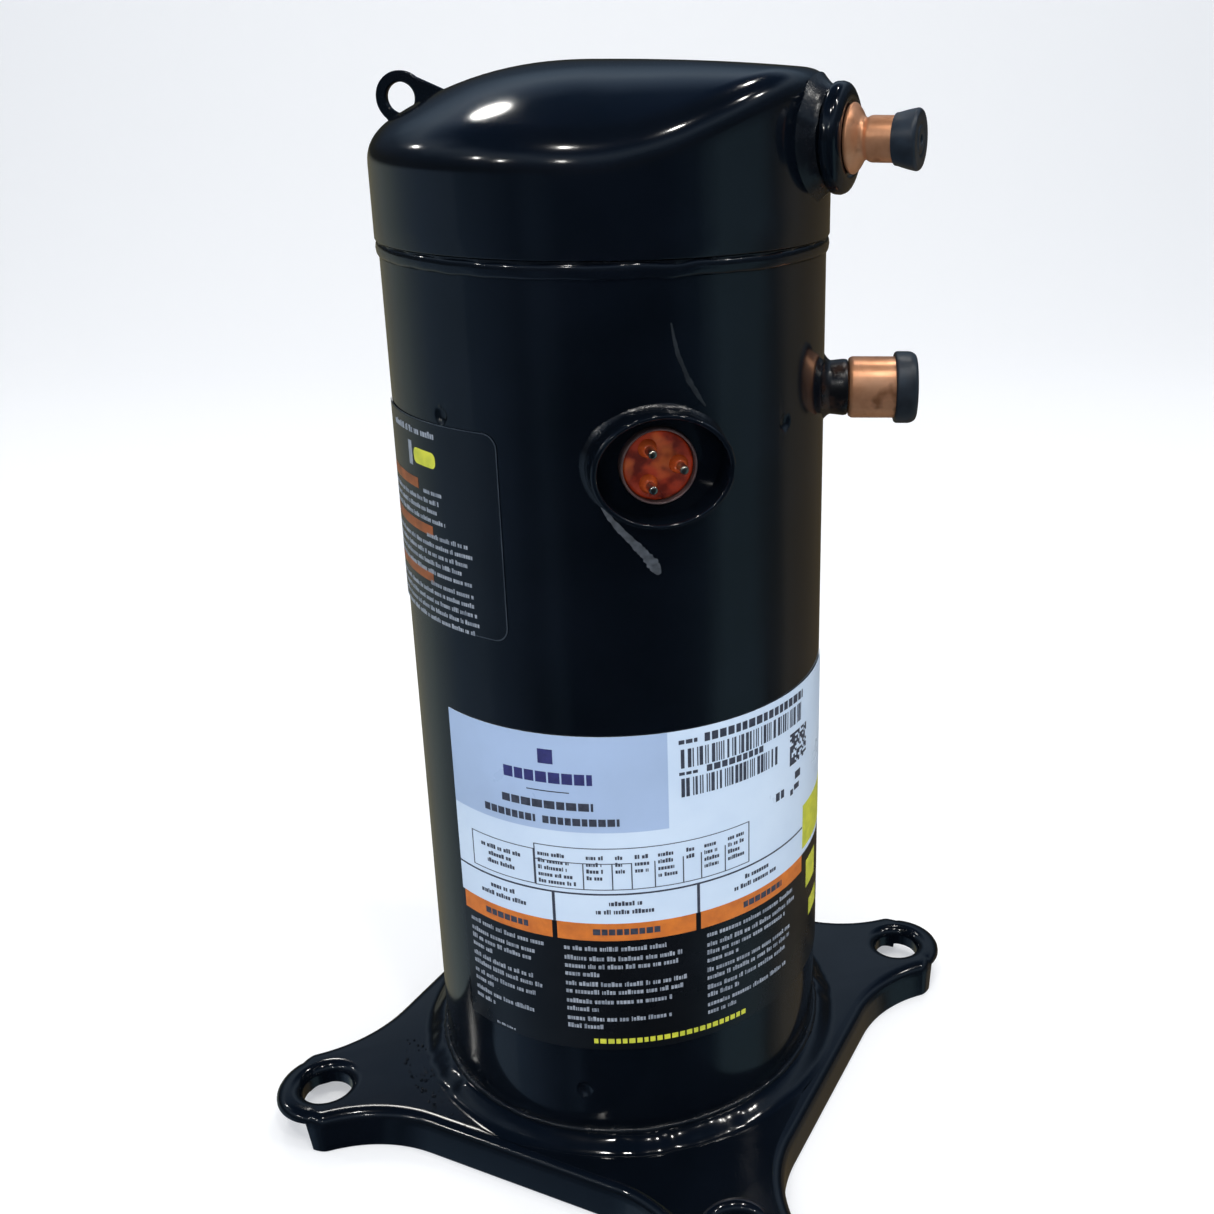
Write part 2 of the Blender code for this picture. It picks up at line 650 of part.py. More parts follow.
def partition_plate(material):
    rim_inner = SHELL_INNER - 7 * MM
    slope_foot = rim_inner - 4 * MM
    profile = [(PARTITION_PORT_RADIUS, CROWN_TOP), (PARTITION_CROWN_RADIUS, CROWN_TOP),
               (slope_foot + 2 * MM, PARTITION_TOP + 3 * MM), (rim_inner + 2 * MM, PARTITION_TOP),
               (PARTITION_RIM_RADIUS, PARTITION_TOP), (PARTITION_RIM_RADIUS, PARTITION_BOTTOM),
               (rim_inner, PARTITION_BOTTOM), (slope_foot - 1 * MM, PARTITION_BOTTOM + 3 * MM),
               (PARTITION_CROWN_RADIUS - 2 * MM, CROWN_BOTTOM), (PARTITION_PORT_RADIUS, CROWN_BOTTOM)]
    plate = turned("partition_plate", profile, material, 32)
    hole = rod("relief_hole", RELIEF_RADIUS + GAP, CROWN_BOTTOM - 5 * MM, CROWN_TOP + 5 * MM, None, 16)
    hole.location = polar(RELIEF_CIRCLE, LUG_ANGLE)
    return cut(plate, hole)


# Fittings, plugs and the lifting lug

def discharge_boss(material):
    groove = BOSS_RADIUS - 3 * MM
    shoulder = BOSS_END - 5 * MM
    profile = [(BOSS_BORE, BOSS_END), (DISCHARGE_FLARE_RADIUS + 2 * MM, BOSS_END),
               (BOSS_RADIUS - 1 * MM, BOSS_END - 1 * MM), (BOSS_RADIUS, BOSS_END - 2.5 * MM),
               (BOSS_RADIUS, shoulder), (groove, shoulder - 1 * MM), (groove, shoulder - 2 * MM),
               (BOSS_RADIUS - 1.5 * MM, shoulder - 3 * MM), (BOSS_RADIUS - 1.5 * MM, CAP_RADIUS - 7 * MM),
               (BOSS_BORE, CAP_RADIUS - 7 * MM)]
    boss = point_outward(turned("discharge_boss", profile, material, 24), DISCHARGE_ANGLE, DISCHARGE_HEIGHT)
    wall = rod("cap_wall_guide", CAP_RADIUS + GAP, CAP_BOTTOM, CAP_TOP + 10 * MM, None, CAP_SEGMENTS)
    return cut(boss, wall)


def discharge_tube(material):
    spigot = BOSS_BORE - GAP
    bore = spigot - TUBE_WALL
    start = BOSS_END + GAP
    neck = DISCHARGE_TUBE_RADIUS - 1 * MM
    inner = DISCHARGE_TUBE_RADIUS - TUBE_WALL
    profile = [(inner, DISCHARGE_TUBE_END), (DISCHARGE_TUBE_RADIUS, DISCHARGE_TUBE_END),
               (DISCHARGE_TUBE_RADIUS, start + 6.5 * MM), (neck, start + 5 * MM),
               (neck + 0.8 * MM, start + 3.6 * MM),
               (DISCHARGE_FLARE_RADIUS - 1.5 * MM, start + 2 * MM),
               (DISCHARGE_FLARE_RADIUS, start + 0.6 * MM),
               (DISCHARGE_FLARE_RADIUS, start), (spigot, start), (spigot, CAP_RADIUS + 2 * MM),
               (bore, CAP_RADIUS + 2 * MM), (bore, start + 6.5 * MM), (inner, start + 7.5 * MM)]
    return point_outward(turned("discharge_tube", profile, material, PORT_SEGMENTS), DISCHARGE_ANGLE,
                         DISCHARGE_HEIGHT)


def discharge_plug(material):
    inner = DISCHARGE_TUBE_RADIUS + GAP
    root = inner + DISCHARGE_PLUG_WALL
    end_wall = DISCHARGE_TUBE_END + GAP
    end = end_wall + PLUG_END_WALL
    hole = 1.8 * MM
    profile = [(hole, end), (root + DISCHARGE_PLUG_FLARE - 0.8 * MM, end),
               (root + DISCHARGE_PLUG_FLARE, end - 0.8 * MM), (root, DISCHARGE_PLUG_START),
               (inner, DISCHARGE_PLUG_START), (inner, end_wall), (hole, end_wall)]
    return point_outward(turned("discharge_plug", profile, material, 18), DISCHARGE_ANGLE, DISCHARGE_HEIGHT)


def suction_fitting(material):
    inner = SUCTION_NECK_RADIUS - SUCTION_NECK_WALL
    neck = ring("suction_fitting", inner, SUCTION_NECK_RADIUS, SHELL_INNER - 4 * MM, SUCTION_NECK_END,
                material, 24)
    return point_outward(neck, SUCTION_ANGLE, SUCTION_HEIGHT)


def suction_tube(material):
    spigot = SUCTION_NECK_RADIUS - SUCTION_NECK_WALL - GAP
    bore = spigot - TUBE_WALL
    start = SUCTION_NECK_END + GAP
    inner = SUCTION_TUBE_RADIUS - TUBE_WALL
    profile = [(inner, SUCTION_TUBE_END), (SUCTION_TUBE_RADIUS, SUCTION_TUBE_END),
               (SUCTION_TUBE_RADIUS, start + 1.2 * MM), (SUCTION_TUBE_RADIUS - 0.8 * MM, start),
               (spigot, start), (spigot, SHELL_RADIUS - 4 * MM), (bore, SHELL_RADIUS - 4 * MM),
               (bore, start + TUBE_WALL), (inner, start + 2 * TUBE_WALL)]
    return point_outward(turned("suction_tube", profile, material, PORT_SEGMENTS), SUCTION_ANGLE,
                         SUCTION_HEIGHT)


def suction_plug(material):
    inner = SUCTION_TUBE_RADIUS + GAP
    outer = inner + SUCTION_PLUG_WALL
    end_wall = SUCTION_TUBE_END + GAP
    end = end_wall + PLUG_END_WALL
    profile = [(0, end), (outer - 1.5 * MM, end), (outer, end - 1.5 * MM), (outer, SUCTION_PLUG_START),
               (inner, SUCTION_PLUG_START), (inner, end_wall), (0, end_wall)]
    return point_outward(turned("suction_plug", profile, material, 20, closed=False), SUCTION_ANGLE,
                         SUCTION_HEIGHT)


def lifting_lug(material):
    """An eye plate that stands on the cap in a radial plane."""
    eye = Vector((LUG_EYE_REACH, cap_height(LUG_EYE_REACH, LUG_ANGLE) + LUG_EYE_LIFT))
    foot_end = LUG_EYE_REACH + 0.4 * LUG_EYE_RADIUS
    outline = arc(eye, LUG_EYE_RADIUS, math.radians(-50), math.radians(130), 8)
    for step in range(6):
        radius = LUG_FOOT_START + (foot_end - LUG_FOOT_START) * step / 5
        outline.append((radius, cap_height(radius, LUG_ANGLE) + GAP + 0.2 * MM))
    hole = circle(eye, LUG_HOLE_RADIUS, 16)
    lug = outline_solid("lifting_lug", [outline, hole], -LUG_THICKNESS / 2, LUG_THICKNESS / 2, material)
    lug.matrix_world = Matrix.Rotation(LUG_ANGLE, 4, "Z") @ Matrix.Rotation(math.pi / 2, 4, "X")
    return lug


# Electrical terminal

def terminal_fence(material):
    inner = FENCE_RADIUS - FENCE_WALL
    profile = [(inner, FENCE_END), (FENCE_RADIUS - 0.6 * MM, FENCE_END), (FENCE_RADIUS, FENCE_END - 0.6 * MM),
               (FENCE_RADIUS, SHELL_RADIUS - 9 * MM), (inner, SHELL_RADIUS - 9 * MM)]
    fence = point_outward(turned("terminal_fence", profile, material, 32), TERMINAL_ANGLE, TERMINAL_HEIGHT)
    fence.scale = (FENCE_HEIGHT_SHARE, 1, 1)  # an oval, wider than it is high
    wall = rod("shell_wall_guide", SHELL_RADIUS + GAP, TERMINAL_HEIGHT - 2 * FENCE_RADIUS,
               TERMINAL_HEIGHT + 2 * FENCE_RADIUS, None, SHELL_SEGMENTS)
    cut(fence, wall)
    notch = box("fence_notch_cutter", (FENCE_NOTCH, 3 * FENCE_WALL, FENCE_NOTCH),
                (0, FENCE_RADIUS - FENCE_WALL / 2, FENCE_END), None)
    return cut(fence, point_outward(notch, TERMINAL_ANGLE, TERMINAL_HEIGHT))


def pin_places():
    """Terminal pins on a triangle that points to the right, seen from outside: (up, right) as (-x, y)."""
    return [(-PIN_CIRCLE * math.sin(angle), PIN_CIRCLE * math.cos(angle))
            for angle in (math.radians(120), 0, math.radians(240))]


def off_axis_rod(name, radius, bottom, top, offset, material, segments):
    """A rod beside the piece's own axis, made as a cone primitive with equal ends."""
    mesh = bpy.data.meshes.new(name)
    build = bmesh.new()
    bmesh.ops.create_cone(build, cap_ends=True, segments=segments, radius1=radius, radius2=radius,
                          depth=top - bottom)
    bmesh.ops.translate(build, vec=(offset[0], offset[1], (top + bottom) / 2), verts=build.verts)
    build.to_mesh(mesh)
    build.free()
    return add_object(name, mesh, material)


def terminal_pieces(steel, insulation, nickel, plastic):
    cup = ring("terminal_cup", CUP_RADIUS - CUP_WALL, CUP_RADIUS, CUP_START, CUP_END, steel, 22)
    point_outward(cup, TERMINAL_ANGLE, TERMINAL_HEIGHT)
    disc_radius = CUP_RADIUS - CUP_WALL - GAP
    insulator = rod("terminal_insulator", disc_radius, CUP_START, INSULATOR_END, insulation, 22)
    connector = rod("terminal_connector", CONNECTOR_RADIUS, CONNECTOR_START, CUP_START - GAP, plastic, 20)
    for piece in (insulator, connector):
        point_outward(piece, TERMINAL_ANGLE, TERMINAL_HEIGHT)
    for index, place in enumerate(pin_places()):
        pin = off_axis_rod(f"terminal_pin_{index + 1}", PIN_RADIUS, PIN_START, PIN_END, place, nickel, 10)
        point_outward(pin, TERMINAL_ANGLE, TERMINAL_HEIGHT)
        bore = off_axis_rod(f"pin_bore_{index + 1}", PIN_RADIUS + GAP, PIN_START - GAP, PIN_END + 5 * MM,
                            place, None, 10)
        point_outward(bore, TERMINAL_ANGLE, TERMINAL_HEIGHT)
        cut(insulator, bore)
        cut(connector, bore)


def lead_wires(materials):
    """Three leads from the connector down to the upper winding, side by side."""
    top = TERMINAL_HEIGHT - CONNECTOR_RADIUS * 0.5
    winding_top = STACK_TOP + GAP + WINDING_HEIGHT
    outward = CONNECTOR_START - LEAD_RADIUS - 1.5 * MM
    for index, material in enumerate(materials):
        side = (index - 1) * LEAD_SPACING
        points = []
        for step in range(9):
            share = step / 8
            height = top + (winding_top + GAP - top) * share
            bow = 3 * MM * math.sin(share * math.pi)
            place = polar(outward + bow, TERMINAL_ANGLE, height)
            place += Vector((-math.sin(TERMINAL_ANGLE), math.cos(TERMINAL_ANGLE), 0)) * side
            points.append(place)
        wire(f"lead_wire_{index + 1}", points, LEAD_RADIUS, material)


# Labels

def label_sheet(name, angles, heights, material):
    steps = max(4, round((angles[1] - angles[0]) / math.radians(5)))
    inner = SHELL_RADIUS + GAP
    outline = sector(inner, inner + LABEL_THICKNESS, angles[0], angles[1], steps)
    return outline_solid(name, [outline], heights[0], heights[1], material)


# Bearing supports

def window_cutter(name, inner, bottom, top, corner):
    start = STAKE_ANGLES[corner] + ARM_HALF_ANGLE
    end = STAKE_ANGLES[corner] + math.pi / 2 - ARM_HALF_ANGLE
    outline = sector(inner, SHELL_RADIUS, start, end, 9)
    return outline_solid(name, [outline], bottom, top, None)


def main_bearing_housing(material):
    arm_bottom = HOUSING_TOP - ARM_HEIGHT
    profile = [(CAVITY_RADIUS, THRUST_TOP), (THRUST_RADIUS, THRUST_TOP), (THRUST_RADIUS, HOUSING_TOP),
               (SUPPORT_RADIUS, HOUSING_TOP), (SUPPORT_RADIUS, arm_bottom),
               (CAVITY_RADIUS + 10 * MM, arm_bottom - 6 * MM),
               (MAIN_HUB_RADIUS, CAVITY_FLOOR - 8 * MM), (MAIN_HUB_RADIUS, MAIN_HUB_BOTTOM),
               (MAIN_BORE, MAIN_HUB_BOTTOM),
               (MAIN_BORE, CAVITY_FLOOR), (CAVITY_RADIUS, CAVITY_FLOOR)]
    housing = turned("main_bearing_housing", profile, material, 32)
    for corner, angle in enumerate(STAKE_ANGLES):
        cut(housing, window_cutter(f"main_window_{corner}", HOUSING_DISC_RADIUS, CAVITY_FLOOR - 20 * MM,
                                   THRUST_TOP + 5 * MM, corner))
        place = polar(POST_CIRCLE, angle)
        post = rod(f"main_post_{corner}", POST_RADIUS, HOUSING_TOP - 3 * MM, POST_TOP, None, 12)
        post.location = place
        join(housing, post)
        thread = rod(f"main_thread_{corner}", BOLT_RADIUS + GAP, POST_TOP - BOLT_THREAD - 1 * MM,
                     POST_TOP + 5 * MM,
                     None, 12)
        thread.location = place
        cut(housing, thread)
    slot_reach = OLDHAM_OUTER + ORBIT_RADIUS + 5 * MM
    slot_start = OLDHAM_INNER - ORBIT_RADIUS - 0.6 * MM
    for side in (-1, 1):
        centre = (side * (slot_start + slot_reach) / 2, 0, HOUSING_TOP)
        size = (slot_reach - slot_start, KEY_WIDTH + 2 * GAP, 2 * KEY_DEPTH)
        cut(housing, box(f"housing_slot_{side}", size, centre, None))
    return housing


def lower_bearing_housing(material):
    bore = LOWER_JOURNAL_RADIUS + GAP + LOWER_BUSH_WALL + GAP
    arm_bottom = LOWER_STAKE_HEIGHT - LOWER_ARM_HEIGHT / 2
    arm_top = arm_bottom + LOWER_ARM_HEIGHT
    profile = [(bore, LOWER_HUB_TOP), (LOWER_HUB_RADIUS, LOWER_HUB_TOP), (LOWER_HUB_RADIUS, arm_top + 4 * MM),
               (LOWER_HUB_RADIUS + 4 * MM, arm_top), (SUPPORT_RADIUS, arm_top), (SUPPORT_RADIUS, arm_bottom),
               (LOWER_HUB_RADIUS, arm_bottom), (LOWER_HUB_RADIUS, LOWER_HUB_BOTTOM), (bore, LOWER_HUB_BOTTOM)]
    housing = turned("lower_bearing_housing", profile, material, 28)
    for corner in range(len(STAKE_ANGLES)):
        window = window_cutter(f"lower_window_{corner}", LOWER_DISC_RADIUS, arm_bottom - 5 * MM,
                               arm_top + 5 * MM,
                               corner)
        cut(housing, window)
    return housing


def plain_bushes(material):
    inner = MAIN_JOURNAL_RADIUS + GAP
    ring("main_bearing_bush", inner, inner + MAIN_BUSH_WALL, MAIN_HUB_BOTTOM + 1 * MM,
         CAVITY_FLOOR - 1 * MM, material, 20)
    inner = LOWER_JOURNAL_RADIUS + GAP
    ring("lower_bearing_bush", inner, inner + LOWER_BUSH_WALL, LOWER_HUB_BOTTOM + 1 * MM,
         LOWER_HUB_TOP - 1 * MM, material, 18)


# Crank and motor

def crankshaft(material, crank):
    shaft_bottom = LOWER_HUB_TOP + 2 * MM
    journal_bottom = MAIN_HUB_BOTTOM - 2 * MM
    journal_top = CAVITY_FLOOR + 1 * MM
    profile = [(0, journal_top), (MAIN_JOURNAL_RADIUS, journal_top), (MAIN_JOURNAL_RADIUS, journal_bottom),
               (SHAFT_RADIUS, journal_bottom), (SHAFT_RADIUS, shaft_bottom),
               (LOWER_JOURNAL_RADIUS, shaft_bottom),
               (LOWER_JOURNAL_RADIUS, LOWER_HUB_BOTTOM), (0, LOWER_HUB_BOTTOM)]
    shaft = turned("crankshaft", profile, material, 22, closed=False)
    pin = rod("crank_pin", PIN_JOURNAL_RADIUS, journal_top - 2 * MM, PIN_JOURNAL_TOP, None, 18)
    pin.location = (ORBIT_RADIUS, 0, 0)
    join(shaft, pin)
    flat = box("pin_flat", (4 * PIN_JOURNAL_RADIUS, 2 * PIN_FLAT_DEPTH, PIN_JOURNAL_TOP - journal_top),
               (ORBIT_RADIUS, PIN_JOURNAL_RADIUS, (PIN_JOURNAL_TOP + journal_top) / 2 + 1 * MM), None)
    cut(shaft, flat)
    cut(shaft, rod("oil_bore", OIL_BORE_RADIUS, LOWER_HUB_BOTTOM - 5 * MM, OIL_BORE_TOP, None, 16))
    start = Vector((0, 0, OIL_BORE_TOP - 8 * MM))
    end = Vector((ORBIT_RADIUS, 0, PIN_JOURNAL_TOP + 5 * MM))
    feed = rod("oil_feed", OIL_FEED_RADIUS, 0, (end - start).length, None, 10)
    feed.rotation_mode = "QUATERNION"
    feed.rotation_quaternion = (end - start).to_track_quat("Z", "Y")
    feed.location = start
    cut(shaft, feed)
    shaft.parent = crank
    return shaft


def oil_pickup(material, crank):
    top = LOWER_HUB_BOTTOM - GAP
    bottom = top - PICKUP_LENGTH
    outer = LOWER_JOURNAL_RADIUS - 0.5 * MM
    profile = [(OIL_BORE_RADIUS, top), (outer, top), (outer, top - 4 * MM), (0.55 * outer, bottom),
               (0.35 * outer, bottom), (OIL_BORE_RADIUS, top - 4 * MM)]
    turned("oil_pickup", profile, material, 14).parent = crank


def motor_pieces(materials, crank):
    bore = SHAFT_RADIUS + GAP
    ring_inner, ring_outer = bore + 6 * MM, ROTOR_RADIUS - 1.5 * MM
    profile = [(bore, STACK_TOP), (ring_inner, STACK_TOP), (ring_inner, STACK_TOP + END_RING),
               (ring_outer, STACK_TOP + END_RING), (ring_outer, STACK_TOP), (ROTOR_RADIUS, STACK_TOP),
               (ROTOR_RADIUS, STACK_BOTTOM), (ring_outer, STACK_BOTTOM),
               (ring_outer, STACK_BOTTOM - END_RING),
               (ring_inner, STACK_BOTTOM - END_RING), (ring_inner, STACK_BOTTOM), (bore, STACK_BOTTOM)]
    turned("rotor", profile, materials["laminations"], 20).parent = crank
    stator = ring("stator_core", ROTOR_RADIUS + AIR_GAP, SUPPORT_RADIUS, STACK_BOTTOM, STACK_TOP,
                  materials["laminations"], 42)
    for index in range(STATOR_FLATS):
        angle = FULL_TURN * index / STATOR_FLATS
        groove = box(f"stator_flat_{index}", (6 * MM, 22 * MM, 2 * STACK_HEIGHT),
                     (SUPPORT_RADIUS, 0, STACK_BOTTOM), None)
        groove.rotation_euler = (0, 0, angle)
        cut(stator, groove)
    ends = (("winding_upper", STACK_TOP + GAP, 1), ("winding_lower", STACK_BOTTOM - GAP, -1))
    for name, base, direction in ends:
        far = base + direction * WINDING_HEIGHT
        shoulder = base + direction * 0.72 * WINDING_HEIGHT
        profile = [(WINDING_INNER, shoulder), (WINDING_INNER + 6 * MM, far), (WINDING_OUTER - 6 * MM, far),
                   (WINDING_OUTER, shoulder), (WINDING_OUTER - 2 * MM, base), (WINDING_INNER, base)]
        if direction < 0:
            profile.reverse()
        turned(name, profile, materials["winding"], 22)


def counterweights(material, crank):
    bore = SHAFT_RADIUS + GAP
    hub = arc((0, 0), bore + 7 * MM, math.pi / 2 - 0.3, -math.pi / 2 + 0.3, 8)
    lobe = arc((0, 0), COUNTERWEIGHT_RADIUS, -math.pi / 2, -3 * math.pi / 2, 16)
    upper = outline_solid("upper_counterweight", [lobe + hub, circle((0, 0), bore, 24)], COUNTERWEIGHT_BOTTOM,
                          COUNTERWEIGHT_BOTTOM + COUNTERWEIGHT_HEIGHT, material)
    upper.parent = crank
    top = STACK_BOTTOM - END_RING - GAP
    outline = sector(bore + 6 * MM, ROTOR_RADIUS - 1.5 * MM, -math.radians(80), math.radians(80), 12)
    lower = outline_solid("lower_counterweight", [outline], top - LOWER_WEIGHT_HEIGHT, top, material)
    lower.parent = crank


def counterweight_shield(material):
    inner = COUNTERWEIGHT_RADIUS + SHIELD_CLEARANCE
    outer = inner + SHIELD_WALL
    top = COUNTERWEIGHT_BOTTOM + COUNTERWEIGHT_HEIGHT + SHIELD_CLEARANCE
    bottom = STACK_TOP + WINDING_HEIGHT + 3 * MM
    neck = SHAFT_RADIUS + SHIELD_CLEARANCE
    profile = [(neck, top + SHIELD_WALL), (outer - 2 * MM, top + SHIELD_WALL), (outer, top - 1 * MM),
               (outer, bottom),
               (inner, bottom), (inner, top - 2 * MM), (inner - 2 * MM, top), (neck, top)]
    return turned("counterweight_shield", profile, material, 20)


# Scroll set

def involute_point(unwound, offset):
    tangent = Vector((math.sin(unwound), -math.cos(unwound)))
    radial = Vector((math.cos(unwound), math.sin(unwound)))
    place = radial * WRAP_BASE_RADIUS + tangent * (WRAP_BASE_RADIUS * unwound + offset)
    return (place.x, place.y)


def wrap_outline():
    angles = [WRAP_START + (WRAP_END - WRAP_START) * step / WRAP_STEPS for step in range(WRAP_STEPS + 1)]
    outer = [involute_point(angle, WRAP_WALL / 2) for angle in angles]
    inner = [involute_point(angle, -WRAP_WALL / 2) for angle in reversed(angles)]
    return outer + inner


def orbiting_scroll(material, orbit):
    hub_bottom = ORBITING_BOTTOM - HUB_LENGTH
    profile = [(0, ORBITING_TOP), (ORBITING_RADIUS - 1 * MM, ORBITING_TOP),
               (ORBITING_RADIUS, ORBITING_TOP - 1 * MM),
               (ORBITING_RADIUS, ORBITING_BOTTOM), (HUB_RADIUS, ORBITING_BOTTOM), (HUB_RADIUS, hub_bottom),
               (HUB_BORE, hub_bottom), (HUB_BORE, ORBITING_BOTTOM), (0, ORBITING_BOTTOM)]
    scroll = turned("orbiting_scroll", profile, material, 36, closed=False)
    wrap = outline_solid("orbiting_wrap", [wrap_outline()], ORBITING_TOP - 1 * MM,
                         ORBITING_TOP + WRAP_HEIGHT, None)
    wrap.rotation_euler = (0, 0, math.pi)
    wrap.parent = orbit
    join(scroll, wrap)
    slot_start = OLDHAM_INNER - ORBIT_RADIUS - 0.6 * MM
    slot_reach = ORBITING_RADIUS + 5 * MM
    for side in (-1, 1):
        centre = (0, side * (slot_start + slot_reach) / 2, ORBITING_BOTTOM)
        size = (KEY_WIDTH + 2 * GAP, slot_reach - slot_start, 2 * (key_top() + GAP - ORBITING_BOTTOM))
        slot = box(f"orbiting_slot_{side}", size, centre, None)
        slot.parent = orbit
        cut(scroll, slot)
    scroll.parent = orbit
    return scroll


def key_top():
    return OLDHAM_TOP + GAP + KEY_DEPTH


def hub_bushes(bush_material, steel, crank, orbit):
    inner = PIN_JOURNAL_RADIUS + GAP
    drive = ring("drive_bush", inner, inner + DRIVE_BUSH_WALL, CAVITY_FLOOR + 3 * MM,
                 PIN_JOURNAL_TOP + 1 * MM, steel, 18)
    drive.location = (ORBIT_RADIUS, 0, 0)
    drive.parent = crank
    outer = HUB_BORE - GAP
    liner = ring("orbiting_hub_bearing", outer - HUB_BEARING_WALL, outer,
                 ORBITING_BOTTOM - HUB_LENGTH + 1 * MM,
                 ORBITING_BOTTOM - 1 * MM, bush_material, 20)
    liner.parent = orbit


def non_orbiting_scroll(material):
    rim_bottom = LID_BOTTOM - SCROLL_RIM_DROP
    rim_inner = SCROLL_RIM_OUTER - SCROLL_RIM_WALL
    hub_top = LID_TOP + SEAL_HUB_HEIGHT
    seat = hub_top - VALVE_SEAT_DEPTH
    profile = [(VALVE_SEAT_RADIUS, hub_top), (SEAL_HUB_RADIUS, hub_top), (SEAL_HUB_RADIUS, LID_TOP),
               (SCROLL_RIM_OUTER, LID_TOP), (SCROLL_RIM_OUTER, rim_bottom), (rim_inner, rim_bottom),
               (rim_inner, LID_BOTTOM), (PORT_RADIUS, LID_BOTTOM), (PORT_RADIUS, seat),
               (VALVE_SEAT_RADIUS, seat)]
    scroll = turned("non_orbiting_scroll", profile, material, 36)
    for corner, angle in enumerate(STAKE_ANGLES):
        tip = polar(POST_CIRCLE, angle)
        side = polar(EAR_RADIUS, angle + math.pi / 2)
        root = polar(SCROLL_RIM_OUTER - SCROLL_RIM_WALL / 2, angle)
        outline = arc(tip, EAR_RADIUS, angle - math.pi / 2, angle + math.pi / 2, 6)
        outline += [(root + side)[:2], (root - side)[:2]]
        ear = outline_solid(f"scroll_ear_{corner}", [outline], EAR_BOTTOM, EAR_TOP, None)
        join(scroll, ear)
        hole = rod(f"ear_hole_{corner}", BOLT_RADIUS + GAP, EAR_BOTTOM - 5 * MM, EAR_TOP + 5 * MM, None, 12)
        hole.location = tip
        cut(scroll, hole)
    wrap = outline_solid("non_orbiting_wrap", [wrap_outline()], ORBITING_TOP + GAP, LID_BOTTOM + 1 * MM, None)
    return join(scroll, wrap)


def scroll_bolts(material):
    head_bottom = EAR_TOP + SCROLL_LIFT
    for corner, angle in enumerate(STAKE_ANGLES):
        profile = [(0, head_bottom + BOLT_HEAD_HEIGHT), (BOLT_HEAD_RADIUS, head_bottom + BOLT_HEAD_HEIGHT),
                   (BOLT_HEAD_RADIUS, head_bottom), (BOLT_RADIUS, head_bottom),
                   (BOLT_RADIUS, POST_TOP - BOLT_THREAD),
                   (0, POST_TOP - BOLT_THREAD)]
        bolt = turned(f"scroll_bolt_{corner + 1}", profile, material, 12, closed=False)
        bolt.location = polar(POST_CIRCLE, angle)


def seal_and_valves(materials):
    inner = SEAL_HUB_RADIUS + GAP
    bottom = LID_TOP + 1 * MM
    body_top = bottom + SEAL_BODY
    lip_top = CROWN_BOTTOM - SEAL_TRAVEL
    profile = [(inner, body_top), (inner + 2 * MM, body_top), (inner + 2 * MM, lip_top),
               (inner + 5 * MM, lip_top),
               (inner + 5 * MM, body_top), (SEAL_RADIUS, body_top), (SEAL_RADIUS, bottom), (inner, bottom)]
    turned("floating_seal", profile, materials["steel"], 22)
    seat = LID_TOP + SEAL_HUB_HEIGHT - VALVE_SEAT_DEPTH
    valve_bottom = seat + GAP
    valve_top = valve_bottom + VALVE_THICKNESS
    rod("check_valve_disc", VALVE_SEAT_RADIUS - 0.7 * MM, valve_bottom, valve_top, materials["valve"], 20)
    ring("check_valve_retainer", 4 * MM, VALVE_SEAT_RADIUS - GAP, valve_top + VALVE_TRAVEL,
         valve_top + VALVE_TRAVEL + 1.5 * MM, materials["steel"], 20)
    profile = [(0, CROWN_TOP + RELIEF_LENGTH / 2), (RELIEF_RADIUS, CROWN_TOP + RELIEF_LENGTH / 2),
               (RELIEF_RADIUS, CROWN_TOP - RELIEF_LENGTH / 2), (0, CROWN_TOP - RELIEF_LENGTH / 2)]
    relief = turned("pressure_relief_valve", profile, materials["brass"], 16, closed=False)
    relief.location = polar(RELIEF_CIRCLE, LUG_ANGLE)


def oldham_coupling(material, carrier, slider):
    coupling = ring("oldham_ring", OLDHAM_INNER, OLDHAM_OUTER, OLDHAM_BOTTOM, OLDHAM_TOP, material, 36)
    coupling.parent = carrier
    coupling.location = (ORBIT_RADIUS / 2, 0, 0)
    middle = (OLDHAM_INNER + OLDHAM_OUTER) / 2
    radial = OLDHAM_OUTER - OLDHAM_INNER
    low = OLDHAM_BOTTOM - GAP
    high = OLDHAM_TOP + GAP
    for index, side in enumerate((1, -1)):
        size = (radial, KEY_WIDTH, KEY_DEPTH)
        key = box(f"oldham_key_{index + 1}", size, (side * middle, 0, low - KEY_DEPTH / 2), material)
        key.parent = slider
        size = (KEY_WIDTH, radial, KEY_DEPTH)
        key = box(f"oldham_key_{index + 3}", size, (0, side * middle, high + KEY_DEPTH / 2), material)
        key.parent = slider


# Small inner pieces

def small_inner_pieces(materials):
    floor = PLATE_TOP - SUMP_DEPTH
    magnet = rod("sump_magnet", MAGNET_RADIUS, floor + GAP, floor + GAP + MAGNET_HEIGHT, materials["magnet"],
                 20)
    magnet.location = (SHELL_INNER / 2, 0, 0)
    start, end = SUCTION_ANGLE - BAFFLE_HALF_ANGLE, SUCTION_ANGLE + BAFFLE_HALF_ANGLE
    baffle = SHELL_RADIUS - BAFFLE_TO_SHELL
    outline = sector(baffle - BAFFLE_WALL, baffle, start, end, 8)
    outline_solid("suction_baffle", [outline], SUCTION_HEIGHT - BAFFLE_HALF_HEIGHT,
                  SUCTION_HEIGHT + BAFFLE_HALF_HEIGHT, materials["steel"])
    top = STACK_TOP + GAP + WINDING_HEIGHT + GAP
    protector = box("motor_protector", (9 * MM, 20 * MM, 6 * MM), (0, 0, 0), materials["plastic"])
    protector.location = polar((WINDING_INNER + WINDING_OUTER) / 2, 0, top + 3 * MM)


